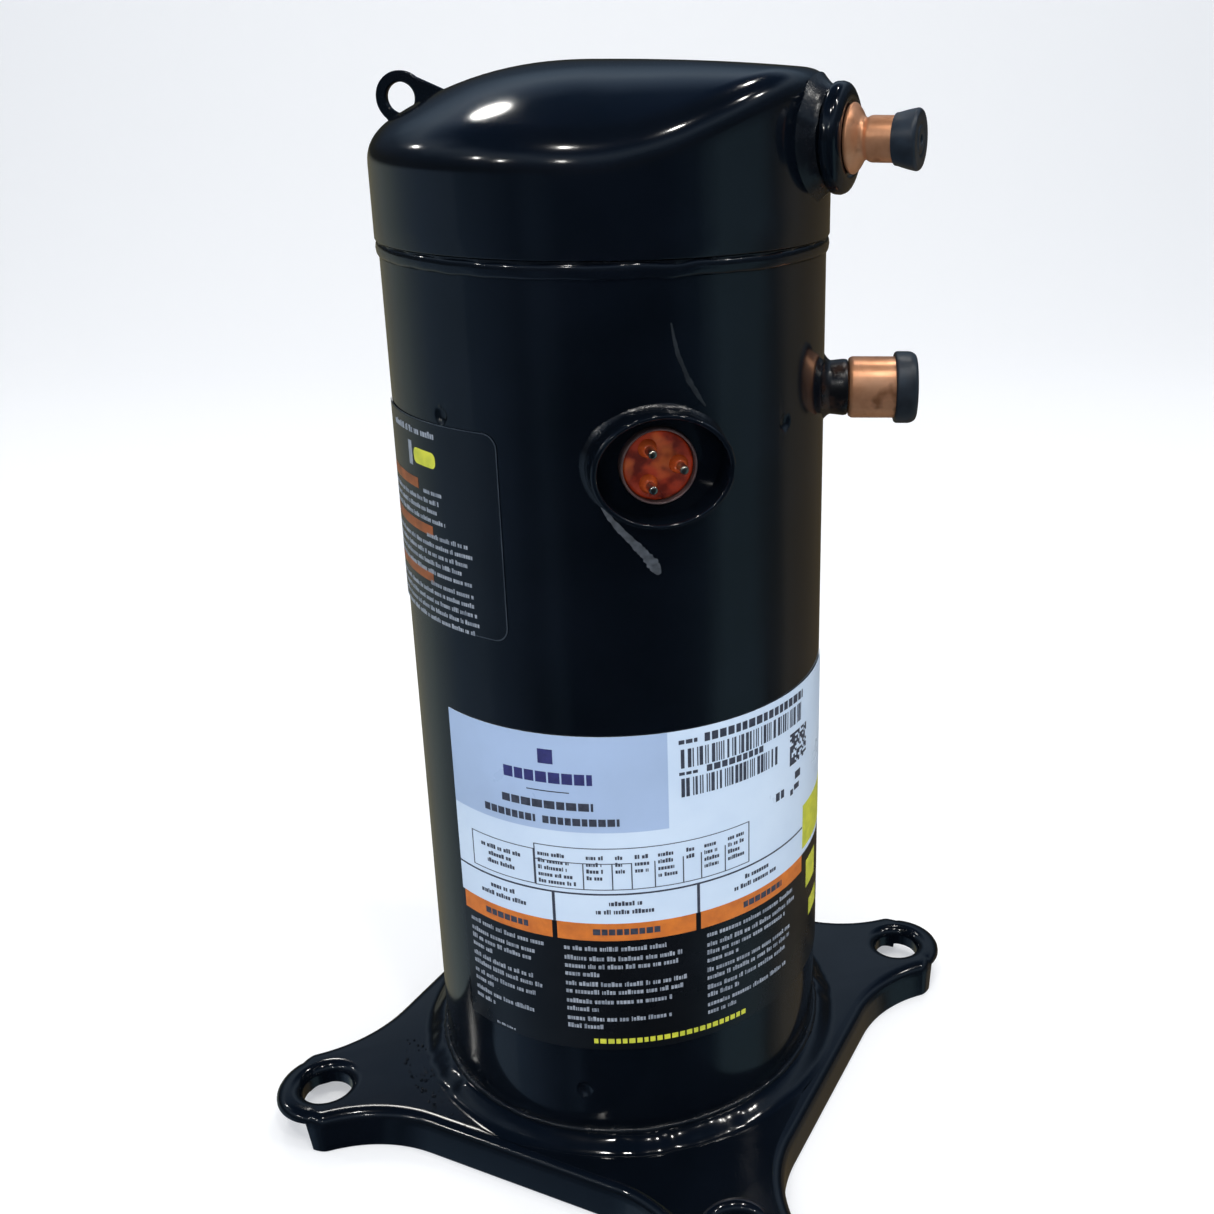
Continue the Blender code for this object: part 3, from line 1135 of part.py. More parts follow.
def build_materials():
    return {
        "paint": make_material("black gloss paint", (0.006, 0.008, 0.013), 0.18, 0.0),
        "steel": make_material("plain steel", (0.45, 0.45, 0.46), 0.35, 1.0),
        "iron": make_material("cast iron", (0.16, 0.16, 0.17), 0.55, 1.0),
        "scroll": make_material("machined scroll iron", (0.33, 0.33, 0.34), 0.35, 1.0),
        "bronze": make_material("bearing bronze", (0.55, 0.36, 0.15), 0.35, 1.0),
        "brass": make_material("valve brass", (0.65, 0.47, 0.18), 0.3, 1.0),
        "copper": make_material("copper tube", (0.72, 0.35, 0.2), 0.3, 1.0),
        "rubber": make_material("plug rubber", (0.035, 0.045, 0.055), 0.7, 0.0),
        "insulation": make_material("terminal insulation", (0.42, 0.045, 0.012), 0.45, 0.0),
        "nickel": make_material("terminal nickel", (0.75, 0.73, 0.7), 0.25, 1.0),
        "plastic": make_material("moulded plastic", (0.05, 0.05, 0.055), 0.5, 0.0),
        "winding": make_material("enamelled winding", (0.42, 0.16, 0.06), 0.45, 0.4),
        "laminations": make_material("steel laminations", (0.22, 0.22, 0.24), 0.5, 1.0),
        "magnet": make_material("ferrite magnet", (0.05, 0.05, 0.05), 0.6, 0.2),
        "valve": make_material("valve spring steel", (0.35, 0.38, 0.42), 0.25, 1.0),
        "label": make_material("label film", (0.5, 0.62, 0.8), 0.4, 0.0),
        "caution": make_material("caution film", (0.02, 0.025, 0.035), 0.4, 0.0),
        "lead": make_material("lead insulation", (0.5, 0.5, 0.48), 0.5, 0.0),
    }


def build_compressor():
    materials = build_materials()
    crank = add_empty("crank_axis", (0, 0, 0))
    orbit = add_empty("orbit_axis", (ORBIT_RADIUS, 0, 0), crank)
    carrier = add_empty("oldham_carrier_axis", (ORBIT_RADIUS / 2, 0, 0), crank)
    slider = add_empty("oldham_slider_axis", (ORBIT_RADIUS / 2, 0, 0), carrier)
    base_plate(materials["paint"])
    center_shell(materials["paint"])
    top_cap(materials["paint"])
    partition_plate(materials["paint"])
    discharge_boss(materials["paint"])
    discharge_tube(materials["copper"])
    discharge_plug(materials["rubber"])
    suction_fitting(materials["paint"])
    suction_tube(materials["copper"])
    suction_plug(materials["rubber"])
    lifting_lug(materials["paint"])
    terminal_fence(materials["paint"])
    terminal_pieces(materials["steel"], materials["insulation"], materials["nickel"], materials["plastic"])
    lead_wires([materials["lead"], materials["plastic"], materials["insulation"]])
    label_sheet("nameplate_label", NAMEPLATE_ANGLES, NAMEPLATE_HEIGHTS, materials["label"])
    label_sheet("caution_label", CAUTION_ANGLES, CAUTION_HEIGHTS, materials["caution"])
    main_bearing_housing(materials["iron"])
    lower_bearing_housing(materials["iron"])
    plain_bushes(materials["bronze"])
    crankshaft(materials["steel"], crank)
    oil_pickup(materials["steel"], crank)
    motor_pieces(materials, crank)
    counterweights(materials["iron"], crank)
    counterweight_shield(materials["steel"])
    orbiting_scroll(materials["scroll"], orbit)
    hub_bushes(materials["bronze"], materials["steel"], crank, orbit)
    non_orbiting_scroll(materials["scroll"])
    scroll_bolts(materials["steel"])
    seal_and_valves(materials)
    oldham_coupling(materials["iron"], carrier, slider)
    small_inner_pieces(materials)


for leftover in list(bpy.data.objects):
    bpy.data.objects.remove(leftover)
PARTS = make_collection("scroll_compressor")
CUTTERS = make_collection("cutters")
build_compressor()
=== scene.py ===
import math
import random

import bmesh
import bpy
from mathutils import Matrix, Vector, noise


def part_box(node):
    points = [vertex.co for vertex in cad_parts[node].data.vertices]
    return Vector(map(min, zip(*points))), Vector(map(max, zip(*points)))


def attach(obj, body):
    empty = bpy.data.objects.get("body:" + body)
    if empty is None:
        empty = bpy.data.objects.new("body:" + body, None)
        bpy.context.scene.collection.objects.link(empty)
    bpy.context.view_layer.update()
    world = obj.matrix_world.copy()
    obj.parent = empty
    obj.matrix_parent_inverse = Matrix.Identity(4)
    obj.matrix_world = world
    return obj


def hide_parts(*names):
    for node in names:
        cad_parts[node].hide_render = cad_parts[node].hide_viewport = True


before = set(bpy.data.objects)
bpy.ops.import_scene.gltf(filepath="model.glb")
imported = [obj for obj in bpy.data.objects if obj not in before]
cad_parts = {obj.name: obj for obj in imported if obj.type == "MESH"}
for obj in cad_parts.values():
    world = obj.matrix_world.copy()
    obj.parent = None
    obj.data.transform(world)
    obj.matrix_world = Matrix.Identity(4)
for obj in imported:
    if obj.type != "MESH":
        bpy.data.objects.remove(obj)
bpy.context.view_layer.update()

mm = 0.001
fullTurn = 2 * math.pi
bpy.ops.object.select_all(action="DESELECT")


def nodeCentre(node):
    low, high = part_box(node)
    return (low + high) / 2


def outwardReach(node, angle):
    direction = Vector((math.cos(angle), math.sin(angle), 0))
    along = [vertex.co.dot(direction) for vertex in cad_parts[node].data.vertices]
    return min(along), max(along)


def sideReach(node, angle):
    sideways = Vector((-math.sin(angle), math.cos(angle), 0))
    across = [vertex.co.dot(sideways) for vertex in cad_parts[node].data.vertices]
    return min(across), max(across)


def headingOf(node):
    centre = nodeCentre(node)
    return math.atan2(centre.y, centre.x)


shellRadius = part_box("center_shell")[1].x
shellLow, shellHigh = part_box("center_shell")[0].z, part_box("center_shell")[1].z
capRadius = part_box("top_cap")[1].y
capLow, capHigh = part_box("top_cap")[0].z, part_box("top_cap")[1].z
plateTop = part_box("center_shell")[0].z - 0.3 * mm
suctionAngle, suctionHeight = headingOf("suction_tube"), nodeCentre("suction_tube").z
dischargeAngle, dischargeHeight = headingOf("discharge_tube"), nodeCentre("discharge_tube").z
terminalAngle, terminalHeight = headingOf("terminal_insulator"), nodeCentre("terminal_insulator").z
lugAngle = headingOf("lifting_lug")
fenceSide = sideReach("terminal_fence", terminalAngle)
fenceRadius = (fenceSide[1] - fenceSide[0]) / 2
fenceFlat = (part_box("terminal_fence")[1].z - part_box("terminal_fence")[0].z) / 2 / fenceRadius
cupRadius = (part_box("terminal_cup")[1].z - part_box("terminal_cup")[0].z) / 2
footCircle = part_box("base_plate")[1].x - 20.5 * mm


camera = {"away": 514 * mm, "heading": -105.3, "height": 419 * mm, "yaw": 5.99, "pitch": 19.5,
          "lens": 39.94, "shiftX": -0.1178, "shiftY": -0.047}


def addCamera():
    heading = math.radians(camera["heading"])
    place = Vector((camera["away"] * math.cos(heading), camera["away"] * math.sin(heading), camera["height"]))
    look = math.radians(camera["heading"] + 180 - camera["yaw"])
    pitch = math.radians(camera["pitch"])
    forward = Vector((math.cos(look) * math.cos(pitch), math.sin(look) * math.cos(pitch), -math.sin(pitch)))
    bpy.ops.object.camera_add(location=place)
    eye = bpy.context.object
    eye.name = "viewCamera"
    eye.rotation_mode = "QUATERNION"
    eye.rotation_quaternion = forward.to_track_quat("-Z", "Y")
    eye.data.lens = camera["lens"]
    eye.data.shift_x = camera["shiftX"]
    eye.data.shift_y = camera["shiftY"]
    eye.data.clip_start = 0.01
    bpy.context.scene.camera = eye


def hexColour(code):
    channels = [int(code[start:start + 2], 16) / 255 for start in (1, 3, 5)]
    linear = [value / 12.92 if value <= 0.04045 else ((value + 0.055) / 1.055) ** 2.4 for value in channels]
    return (*linear, 1.0)


def addNode(tree, kind, settings=None, links=None):
    node = tree.nodes.new(kind)
    for key, value in (settings or {}).items():
        if isinstance(key, str) and hasattr(node, key):
            setattr(node, key, value)
        else:
            node.inputs[key].default_value = value
    for key, source in (links or {}).items():
        tree.links.new(source, node.inputs[key])
    return node


studio = {"floorColour": "#d4d4d4", "glow": "#f4f6fa", "glowStrength": 0.42, "roomStrength": 1.0,
          # colours met by mirrored rays: round the room below eye level, then from eye level to the ceiling
          "round": ((0.0, "#5c7288"), (0.036, "#4e6176"), (0.085, "#26333f"), (0.115, "#3d4e5e"),
                    (0.14, "#141c26"), (0.22, "#0c1118"), (0.285, "#0f151c"), (0.335, "#2c3c46"),
                    (0.37, "#6c8791"), (0.43, "#647c85"), (0.462, "#4a4f4c"), (0.5, "#7a7466"),
                    (0.556, "#6c6250"), (0.64, "#554b3a"), (0.70, "#5c5442"), (0.764, "#7a7764"),
                    (0.82, "#8a8f88"), (0.86, "#8b9896"), (0.936, "#70859a")),
          "rise": ((0.0, "#2c2c26"), (0.13, "#33342e"), (0.24, "#38404a"), (0.36, "#465464"), (0.48, "#788b9f"),
                   (0.58, "#93a5b8"), (0.66, "#6b7f98"), (0.75, "#2b3f5a"), (0.86, "#1f3350"), (1.0, "#141c28"))}


def addStage():
    bpy.ops.mesh.primitive_plane_add(size=1, location=(0, 0, 0))
    floor = bpy.context.object
    floor.name = "studioFloor"
    bpy.ops.object.mode_set(mode="EDIT")
    bpy.ops.transform.resize(value=(9, 5, 1))
    bpy.ops.transform.translate(value=(0, -1.0, 0))
    for vertex in bmesh.from_edit_mesh(floor.data).verts:
        vertex.select_set(vertex.co.y > 1.0)
    sheet = bmesh.from_edit_mesh(floor.data)
    sheet.select_flush_mode()
    bmesh.update_edit_mesh(floor.data)
    bpy.ops.mesh.select_mode(type="EDGE")
    sheet = bmesh.from_edit_mesh(floor.data)
    for edge in sheet.edges:
        edge.select_set(all(vertex.co.y > 1.0 for vertex in edge.verts))
    bmesh.update_edit_mesh(floor.data)
    steps = 12
    for step in range(steps):
        tilt = (step + 1) / steps * math.pi / 2
        bpy.ops.mesh.extrude_edges_move(TRANSFORM_OT_translate={
            "value": (0, 0.12 * math.cos(tilt), 0.12 * math.sin(tilt))})
    bpy.ops.mesh.extrude_edges_move(TRANSFORM_OT_translate={"value": (0, 0, 3.5)})
    bpy.ops.mesh.select_mode(type="VERT")
    bpy.ops.mesh.select_all(action="SELECT")
    bpy.ops.mesh.normals_make_consistent(inside=False)
    bpy.ops.object.mode_set(mode="OBJECT")
    bpy.ops.object.shade_smooth()
    heading = math.radians(camera["heading"] + 90)
    bpy.ops.transform.rotate(value=-heading, orient_axis="Z", center_override=(0, 0, 0))
    bpy.ops.object.transform_apply(location=True, rotation=True, scale=True)
    paper = bpy.data.materials.new("matt studio paper")  # even and pale, so only the part catches the eye
    paper.use_nodes = True
    shader = paper.node_tree.nodes["Principled BSDF"]
    shader.inputs["Base Color"].default_value = hexColour(studio["floorColour"])
    shader.inputs["Roughness"].default_value = 0.9
    shader.inputs["Specular IOR Level"].default_value = 0.0
    shader.inputs["Emission Color"].default_value = hexColour(studio["glow"])
    shader.inputs["Emission Strength"].default_value = studio["glowStrength"]
    floor.data.materials.append(paper)
    floor.visible_glossy = False  # the gloss paint mirrors the room, not the paper


def colourSteps(tree, source, steps):
    ramp = addNode(tree, "ShaderNodeValToRGB", links={"Fac": source})
    points = ramp.color_ramp.elements
    points[0].position, points[0].color = steps[0][0], hexColour(steps[0][1])
    points[1].position, points[1].color = steps[-1][0], hexColour(steps[-1][1])
    for place, colour in steps[1:-1]:
        points.new(place).color = hexColour(colour)
    return ramp.outputs["Color"]


def addWorld():
    world = bpy.data.worlds.new("studioRoom")
    world.use_nodes = True
    tree = world.node_tree
    tree.nodes.clear()
    direction = addNode(tree, "ShaderNodeTexCoord").outputs["Generated"]
    parts = addNode(tree, "ShaderNodeSeparateXYZ", links={0: direction})
    wander = addNode(tree, "ShaderNodeTexNoise", {"Scale": 3.0, "Detail": 3.0}, {"Vector": direction}).outputs["Fac"]
    turn = addNode(tree, "ShaderNodeMath", {"operation": "ARCTAN2"}, {0: parts.outputs["Y"], 1: parts.outputs["X"]})
    share = addNode(tree, "ShaderNodeMath", {"operation": "MULTIPLY_ADD", 1: 1 / fullTurn, 2: 0.472},
                    {0: turn.outputs[0]})
    place = addNode(tree, "ShaderNodeMath", {"operation": "MULTIPLY_ADD", 1: 0.056},
                    {0: wander, 2: share.outputs[0]})
    low = colourSteps(tree, place.outputs[0], studio["round"])
    height = addNode(tree, "ShaderNodeMath", {"operation": "MULTIPLY_ADD", 1: 0.16}, {
        0: addNode(tree, "ShaderNodeMath", {"operation": "SUBTRACT", 1: 0.5}, {0: wander}).outputs[0],
        2: parts.outputs["Z"]})
    high = colourSteps(tree, height.outputs[0], studio["rise"])
    above = addNode(tree, "ShaderNodeMapRange", {"From Min": -0.03, "From Max": 0.03},
                    {"Value": parts.outputs["Z"]}).outputs[0]
    room = addNode(tree, "ShaderNodeMix", {"data_type": "RGBA"}, {"Factor": above, 6: low, 7: high})
    backdrop = addNode(tree, "ShaderNodeBackground", {"Strength": studio["roomStrength"]}, {"Color": room.outputs[2]})
    addNode(tree, "ShaderNodeOutputWorld", links={"Surface": backdrop.outputs[0]})
    bpy.context.scene.world = world


def addLight(name, place, target, size, power, colour, shape="RECTANGLE", sizeY=None, glossy=True):
    bpy.ops.object.light_add(type="AREA", location=place)
    lamp = bpy.context.object
    lamp.name = name
    lamp.data.shape = shape
    lamp.data.size = size
    if sizeY:
        lamp.data.size_y = sizeY
    lamp.data.energy = power
    lamp.data.color = hexColour(colour)[:3]
    lamp.rotation_mode = "QUATERNION"
    lamp.rotation_quaternion = (Vector(target) - Vector(place)).to_track_quat("-Z", "Y")
    lamp.visible_glossy = glossy
    lamp.visible_camera = False
    return lamp


# each lamp is its place, width and power; the small ones glint along the shoulder of the cap
lamps = (((-0.24, 1.31, 1.75), 0.22, 3.2), ((-0.55, -0.6, 1.75), 0.10, 3.6), ((0.05, -0.8, 1.75), 0.10, 3.6),
         ((0.75, -0.55, 1.75), 0.10, 3.6), ((1.34, -0.71, 1.75), 0.12, 4.0), ((-1.22, 0.92, 1.2), 0.08, 1.6),
         ((-1.59, -0.27, 1.2), 0.07, 1.5), ((-1.65, -0.74, 1.2), 0.07, 1.5), ((-0.93, -1.30, 1.2), 0.07, 1.5),
         ((0.5, 0.5, 1.75), 0.10, 3.0))


def addLights():
    middle = (0, 0, 0.2)
    addLight("overheadSoftbox", (0, -0.3, 2.6), middle, 3.0, 38, "#ffffff", sizeY=3.0, glossy=False)
    addLight("frontFill", (-0.9, -2.4, 1.3), middle, 2.0, 18, "#f4f8ff", sizeY=1.6, glossy=False)
    for index, (place, width, power) in enumerate(lamps):
        addLight(f"ceilingLamp{index + 1}", place, middle, width, power, "#fdfaf4", shape="DISK")


def objectNoise(tree, scale, detail=3.0, roughness=0.5, stretch=None):
    place = addNode(tree, "ShaderNodeTexCoord").outputs["Object"]
    if stretch:
        place = addNode(tree, "ShaderNodeMapping", {"Scale": stretch}, {"Vector": place}).outputs[0]
    return addNode(tree, "ShaderNodeTexNoise", {"Scale": scale, "Detail": detail, "Roughness": roughness},
                   {"Vector": place}).outputs["Fac"]


def span(tree, source, low, high, fromLow=0.3, fromHigh=0.7):
    return addNode(tree, "ShaderNodeMapRange", {"From Min": fromLow, "From Max": fromHigh, "To Min": low,
                                                "To Max": high}, {"Value": source}).outputs[0]


def makeFinish(name, looks):
    material = bpy.data.materials.new(name)
    material.use_nodes = True
    tree = material.node_tree
    shader = tree.nodes["Principled BSDF"]
    for socket, value in looks.get("fixed", {}).items():
        shader.inputs[socket].default_value = value
    shader.inputs["Metallic"].default_value = looks.get("metallic", 0.0)
    patches = objectNoise(tree, looks.get("patchScale", 60), 4.0, 0.55, looks.get("stretch"))
    colours = addNode(tree, "ShaderNodeMix", {"data_type": "RGBA"}, {"Factor": span(
        tree, patches, 0, 1, *looks.get("patchEdge", (0.3, 0.7)))})
    colours.inputs[6].default_value = hexColour(looks["colour"])
    colours.inputs[7].default_value = hexColour(looks.get("second", looks["colour"]))
    last = colours.outputs[2]
    if "speck" in looks:
        specks = objectNoise(tree, looks["speckScale"], 2.0, 0.5)
        start = looks.get("speckFrom", 0.62)
        mask = span(tree, specks, 0, looks.get("speckTop", 1), start, start + looks.get("speckSoft", 0.06))
        top = addNode(tree, "ShaderNodeMix", {"data_type": "RGBA"}, {"Factor": mask, 6: last})
        top.inputs[7].default_value = hexColour(looks["speck"])
        last = top.outputs[2]
    tree.links.new(last, shader.inputs["Base Color"])
    low, high = looks["roughness"]
    smudges = objectNoise(tree, looks.get("smudgeScale", 25), 5.0, 0.6, looks.get("smudgeStretch"))
    tree.links.new(span(tree, smudges, low, high), shader.inputs["Roughness"])
    grain = objectNoise(tree, looks["grainScale"], looks.get("grainDetail", 2.0), 0.5, looks.get("grainStretch"))
    bump = addNode(tree, "ShaderNodeBump", {"Strength": looks.get("grainStrength", 0.2),
                                            "Distance": looks.get("grainDepth", 0.05 * mm)}, {"Height": grain})
    if "waveScale" in looks:
        waves = objectNoise(tree, looks["waveScale"], 1.0, 0.4, looks.get("waveStretch"))
        bump = addNode(tree, "ShaderNodeBump", {"Strength": looks.get("waveStrength", 0.3),
                                                "Distance": looks.get("waveDepth", 0.2 * mm)},
                       {"Height": waves, "Normal": bump.outputs[0]})
    tree.links.new(bump.outputs[0], shader.inputs["Normal"])
    return material


def makeLines(name, looks, axis, pitch):
    material = makeFinish(name, looks)
    tree = material.node_tree
    shader = tree.nodes["Principled BSDF"]
    place = addNode(tree, "ShaderNodeTexCoord").outputs["Object"]
    waves = addNode(tree, "ShaderNodeTexWave", {"wave_type": "BANDS", "bands_direction": axis,
                                                "Scale": 0.314 / pitch, "Distortion": looks.get("wobble", 0.4),
                                                "Detail": 1.0}, {"Vector": place})
    bump = addNode(tree, "ShaderNodeBump", {"Strength": 0.5, "Distance": pitch / 4},
                   {"Height": waves.outputs["Fac"]})
    tree.links.new(bump.outputs[0], shader.inputs["Normal"])
    return material


finishes = {
    # stoved black gloss enamel: deep blue-black with a slight orange peel and smears in the shine
    "paint": {"colour": "#05090f", "second": "#090e16", "patchScale": 30, "roughness": (0.06, 0.16),
              "smudgeScale": 22, "grainScale": 420, "grainStrength": 0.10, "grainDepth": 0.03 * mm,
              "waveScale": 48, "waveStrength": 0.3, "waveDepth": 0.16 * mm},
    # the same enamel on the drawn tube, where the waviness runs along the draw
    "drawnPaint": {"colour": "#05090f", "second": "#090e16", "patchScale": 30, "roughness": (0.06, 0.17),
                   "smudgeScale": 30, "smudgeStretch": (1, 1, 0.25), "grainScale": 420, "grainStrength": 0.10,
                   "grainDepth": 0.03 * mm, "waveScale": 62, "waveStretch": (1, 1, 0.16),
                   "waveStrength": 0.34, "waveDepth": 0.2 * mm},
    # enamel scorched by brazing: black with rusty brown smears
    "burntPaint": {"colour": "#0b0c10", "second": "#3a2519", "patchScale": 110, "patchEdge": (0.46, 0.66),
                   "roughness": (0.14, 0.4), "smudgeScale": 90, "grainScale": 700, "grainStrength": 0.3,
                   "grainDepth": 0.1 * mm},
    # enamel over a weld: the same paint, rippled and spattered
    "weldPaint": {"colour": "#06090f", "second": "#10141a", "patchScale": 120, "roughness": (0.14, 0.34),
                  "smudgeScale": 120, "grainScale": 900, "grainStrength": 0.45, "grainDepth": 0.18 * mm,
                  "waveScale": 260, "waveStrength": 0.6, "waveDepth": 0.35 * mm},
    # painted highlight: a dull grey streak on the enamel standing in for a streak of reflected light
    "paintedHighlight": {"colour": "#5a6068", "second": "#34393f", "patchScale": 420, "roughness": (0.55, 0.8),
              "grainScale": 1500, "grainStrength": 0.4, "grainDepth": 0.05 * mm},
    # dim painted highlight: a dark grey streak on the enamel standing in for a faint streak of reflected light
    "faintPaintedHighlight": {"colour": "#22282e", "second": "#14191f", "patchScale": 260, "roughness": (0.4, 0.6),
                   "grainScale": 1200, "grainStrength": 0.3, "grainDepth": 0.05 * mm},
    # drawn copper tube: warm salmon, hazy with handling, with soft brown tarnish
    "copper": {"colour": "#e0a680", "second": "#c78a62", "patchScale": 90, "patchEdge": (0.4, 0.7),
               "metallic": 0.72, "roughness": (0.28, 0.46), "smudgeScale": 70, "grainScale": 2200,
               "grainStrength": 0.18, "grainDepth": 0.02 * mm, "speck": "#8a5636", "speckScale": 130,
               "speckFrom": 0.56, "speckSoft": 0.16, "speckTop": 0.75},
    # moulded rubber cap: dark grey-blue, satin, with bloom
    "rubber": {"colour": "#151c24", "second": "#222c37", "patchScale": 120, "roughness": (0.3, 0.5),
               "grainScale": 1600, "grainStrength": 0.25, "grainDepth": 0.04 * mm},
    # brush-coated glass seal of the terminal: brick red, half gloss
    "insulator": {"colour": "#a3300f", "second": "#5c1408", "patchScale": 130, "patchEdge": (0.4, 0.62),
                  "roughness": (0.2, 0.42), "grainScale": 620, "grainStrength": 0.4,
                  "grainDepth": 0.14 * mm, "speck": "#bd5a1d", "speckScale": 110, "speckFrom": 0.52,
                  "speckSoft": 0.14, "speckTop": 0.6},
    # fused glass collar around a pin: orange and shiny
    "collar": {"colour": "#b85226", "second": "#8a3214", "patchScale": 260, "roughness": (0.12, 0.25),
               "grainScale": 500, "grainStrength": 0.2, "grainDepth": 0.05 * mm},
    # nickel-plated pin: pale warm metal, lightly scratched
    "nickel": {"colour": "#d8d2c4", "second": "#b7ae9e", "patchScale": 700, "metallic": 1.0,
               "roughness": (0.2, 0.36), "grainScale": 2400, "grainStrength": 0.2, "grainDepth": 0.02 * mm},
    # cup rim where the enamel is thin: dull brown-mauve steel
    "cupRim": {"colour": "#6e5a58", "second": "#4a3e40", "patchScale": 240, "metallic": 0.3,
               "roughness": (0.25, 0.45), "grainScale": 900, "grainStrength": 0.3, "grainDepth": 0.05 * mm},
    # printed polyester label films: satin, faint unevenness where they lie on the shell
    "filmPale": {"colour": "#d3e4f6", "second": "#c6d9ef", "patchScale": 24, "roughness": (0.26, 0.4),
                 "grainScale": 1200, "grainStrength": 0.06, "grainDepth": 0.02 * mm, "waveScale": 45,
                 "waveStrength": 0.2, "waveDepth": 0.1 * mm},
    "filmBlue": {"colour": "#a9c0e2", "second": "#a0b6d6", "patchScale": 24, "roughness": (0.26, 0.4),
                 "grainScale": 1200, "grainStrength": 0.06, "grainDepth": 0.02 * mm},
    "filmBlack": {"colour": "#0b0e13", "second": "#11151b", "patchScale": 30, "roughness": (0.22, 0.36),
                  "grainScale": 1200, "grainStrength": 0.08, "grainDepth": 0.02 * mm, "waveScale": 45,
                  "waveStrength": 0.2, "waveDepth": 0.1 * mm},
    "filmSmoke": {"colour": "#070b11", "second": "#0b1017", "patchScale": 30, "roughness": (0.14, 0.26),
                  "grainScale": 1200, "grainStrength": 0.08, "grainDepth": 0.02 * mm},
    # cut edge of a film, where it catches the light
    "filmEdge": {"colour": "#3a434d", "second": "#28303a", "patchScale": 90, "roughness": (0.3, 0.5),
                 "grainScale": 1200, "grainStrength": 0.1, "grainDepth": 0.02 * mm},
    # screen-printed inks on the films: flat, slightly rough, uneven in density
    "inkDark": {"colour": "#2b3040", "second": "#454b5c", "patchScale": 500, "roughness": (0.4, 0.55),
                "grainScale": 1500, "grainStrength": 0.1, "grainDepth": 0.01 * mm},
    "inkNavy": {"colour": "#34377a", "second": "#2a2c66", "patchScale": 400, "roughness": (0.4, 0.55),
                "grainScale": 1500, "grainStrength": 0.1, "grainDepth": 0.01 * mm},
    "inkWhite": {"colour": "#a2aab6", "second": "#6f7885", "patchScale": 300, "roughness": (0.4, 0.55),
                 "grainScale": 1500, "grainStrength": 0.1, "grainDepth": 0.01 * mm},
    "inkOrange": {"colour": "#dd7a1e", "second": "#c4661a", "patchScale": 200, "roughness": (0.35, 0.5),
                  "grainScale": 1500, "grainStrength": 0.1, "grainDepth": 0.01 * mm},
    "inkRust": {"colour": "#a85a26", "second": "#7c451f", "patchScale": 200, "roughness": (0.35, 0.5),
                "grainScale": 1500, "grainStrength": 0.1, "grainDepth": 0.01 * mm},
    "inkYellow": {"colour": "#d9d93a", "second": "#b9c034", "patchScale": 200, "roughness": (0.35, 0.5),
                  "grainScale": 1500, "grainStrength": 0.1, "grainDepth": 0.01 * mm},
    # ground and turned steel: fine grey with light oil stains
    "steel": {"colour": "#9a9c9f", "second": "#83868a", "patchScale": 80, "metallic": 1.0,
              "roughness": (0.24, 0.4), "grainScale": 1800, "grainStrength": 0.2, "grainDepth": 0.02 * mm},
    # sand-cast grey iron: dark, matt, grainy
    "castIron": {"colour": "#4a4b4d", "second": "#38393b", "patchScale": 110, "metallic": 0.85,
                 "roughness": (0.5, 0.68), "grainScale": 900, "grainStrength": 0.6, "grainDepth": 0.15 * mm},
    # milled scroll iron: paler, with a fine cutter grain
    "scrollIron": {"colour": "#7c7e80", "second": "#6a6c6e", "patchScale": 90, "metallic": 1.0,
                   "roughness": (0.28, 0.42), "grainScale": 1500, "grainStrength": 0.25,
                   "grainDepth": 0.03 * mm},
    # sintered bronze bush: brown gold, fine pores
    "bronze": {"colour": "#a9834a", "second": "#8f6b38", "patchScale": 140, "metallic": 1.0,
               "roughness": (0.34, 0.5), "grainScale": 2200, "grainStrength": 0.35, "grainDepth": 0.04 * mm},
    # moulded phenolic and nylon: near-black, fine texture
    "plastic": {"colour": "#1d1e20", "second": "#242527", "patchScale": 160, "roughness": (0.42, 0.58),
                "grainScale": 1700, "grainStrength": 0.3, "grainDepth": 0.04 * mm},
    # braided lead sleeve: off-white, soft
    "sleeve": {"colour": "#a8a69c", "second": "#96948a", "patchScale": 300, "roughness": (0.55, 0.7),
               "grainScale": 2600, "grainStrength": 0.5, "grainDepth": 0.06 * mm},
    # pressed ferrite: charcoal, matt
    "ferrite": {"colour": "#2a2a2c", "second": "#343437", "patchScale": 200, "roughness": (0.5, 0.7),
                "grainScale": 1400, "grainStrength": 0.4, "grainDepth": 0.05 * mm},
    # varnished copper winding: red-brown strands
    "winding": {"colour": "#8c4a24", "second": "#6b3418", "patchScale": 160, "metallic": 0.6,
                "roughness": (0.28, 0.42), "grainScale": 900, "wobble": 2.5},
    # stacked electrical steel: grey edges in fine layers
    "laminations": {"colour": "#5d6064", "second": "#4c4f53", "patchScale": 120, "metallic": 0.9,
                    "roughness": (0.36, 0.5), "grainScale": 1200},
}
# the two grey streak finishes named here are painted highlights, standing in for streaks of reflected light
realNames = {
    "paint": "black gloss enamel", "weldPaint": "enamelled weld", "paintedHighlight": "painted highlight streak",
    "burntPaint": "scorched enamel", "drawnPaint": "enamelled drawn tube", "faintPaintedHighlight": "faint painted highlight streak",
    "filmEdge": "cut film edge", "inkRust": "rust screen ink", "copper": "drawn copper",
    "rubber": "moulded rubber", "insulator": "glass terminal seal",
    "collar": "fused glass collar", "nickel": "nickel-plated steel", "cupRim": "pressed steel cup",
    "filmPale": "white polyester film", "filmBlue": "blue polyester film",
    "filmBlack": "black polyester film", "filmSmoke": "smoked polyester film", "inkDark": "dark screen ink",
    "inkNavy": "navy screen ink", "inkWhite": "white screen ink", "inkOrange": "orange screen ink",
    "inkYellow": "yellow screen ink", "steel": "turned steel", "castIron": "sand-cast iron",
    "scrollIron": "milled scroll iron", "bronze": "sintered bronze", "plastic": "moulded phenolic",
    "sleeve": "braided lead sleeve", "ferrite": "pressed ferrite", "winding": "varnished copper winding",
    "laminations": "stacked electrical steel",
}
materials = {}
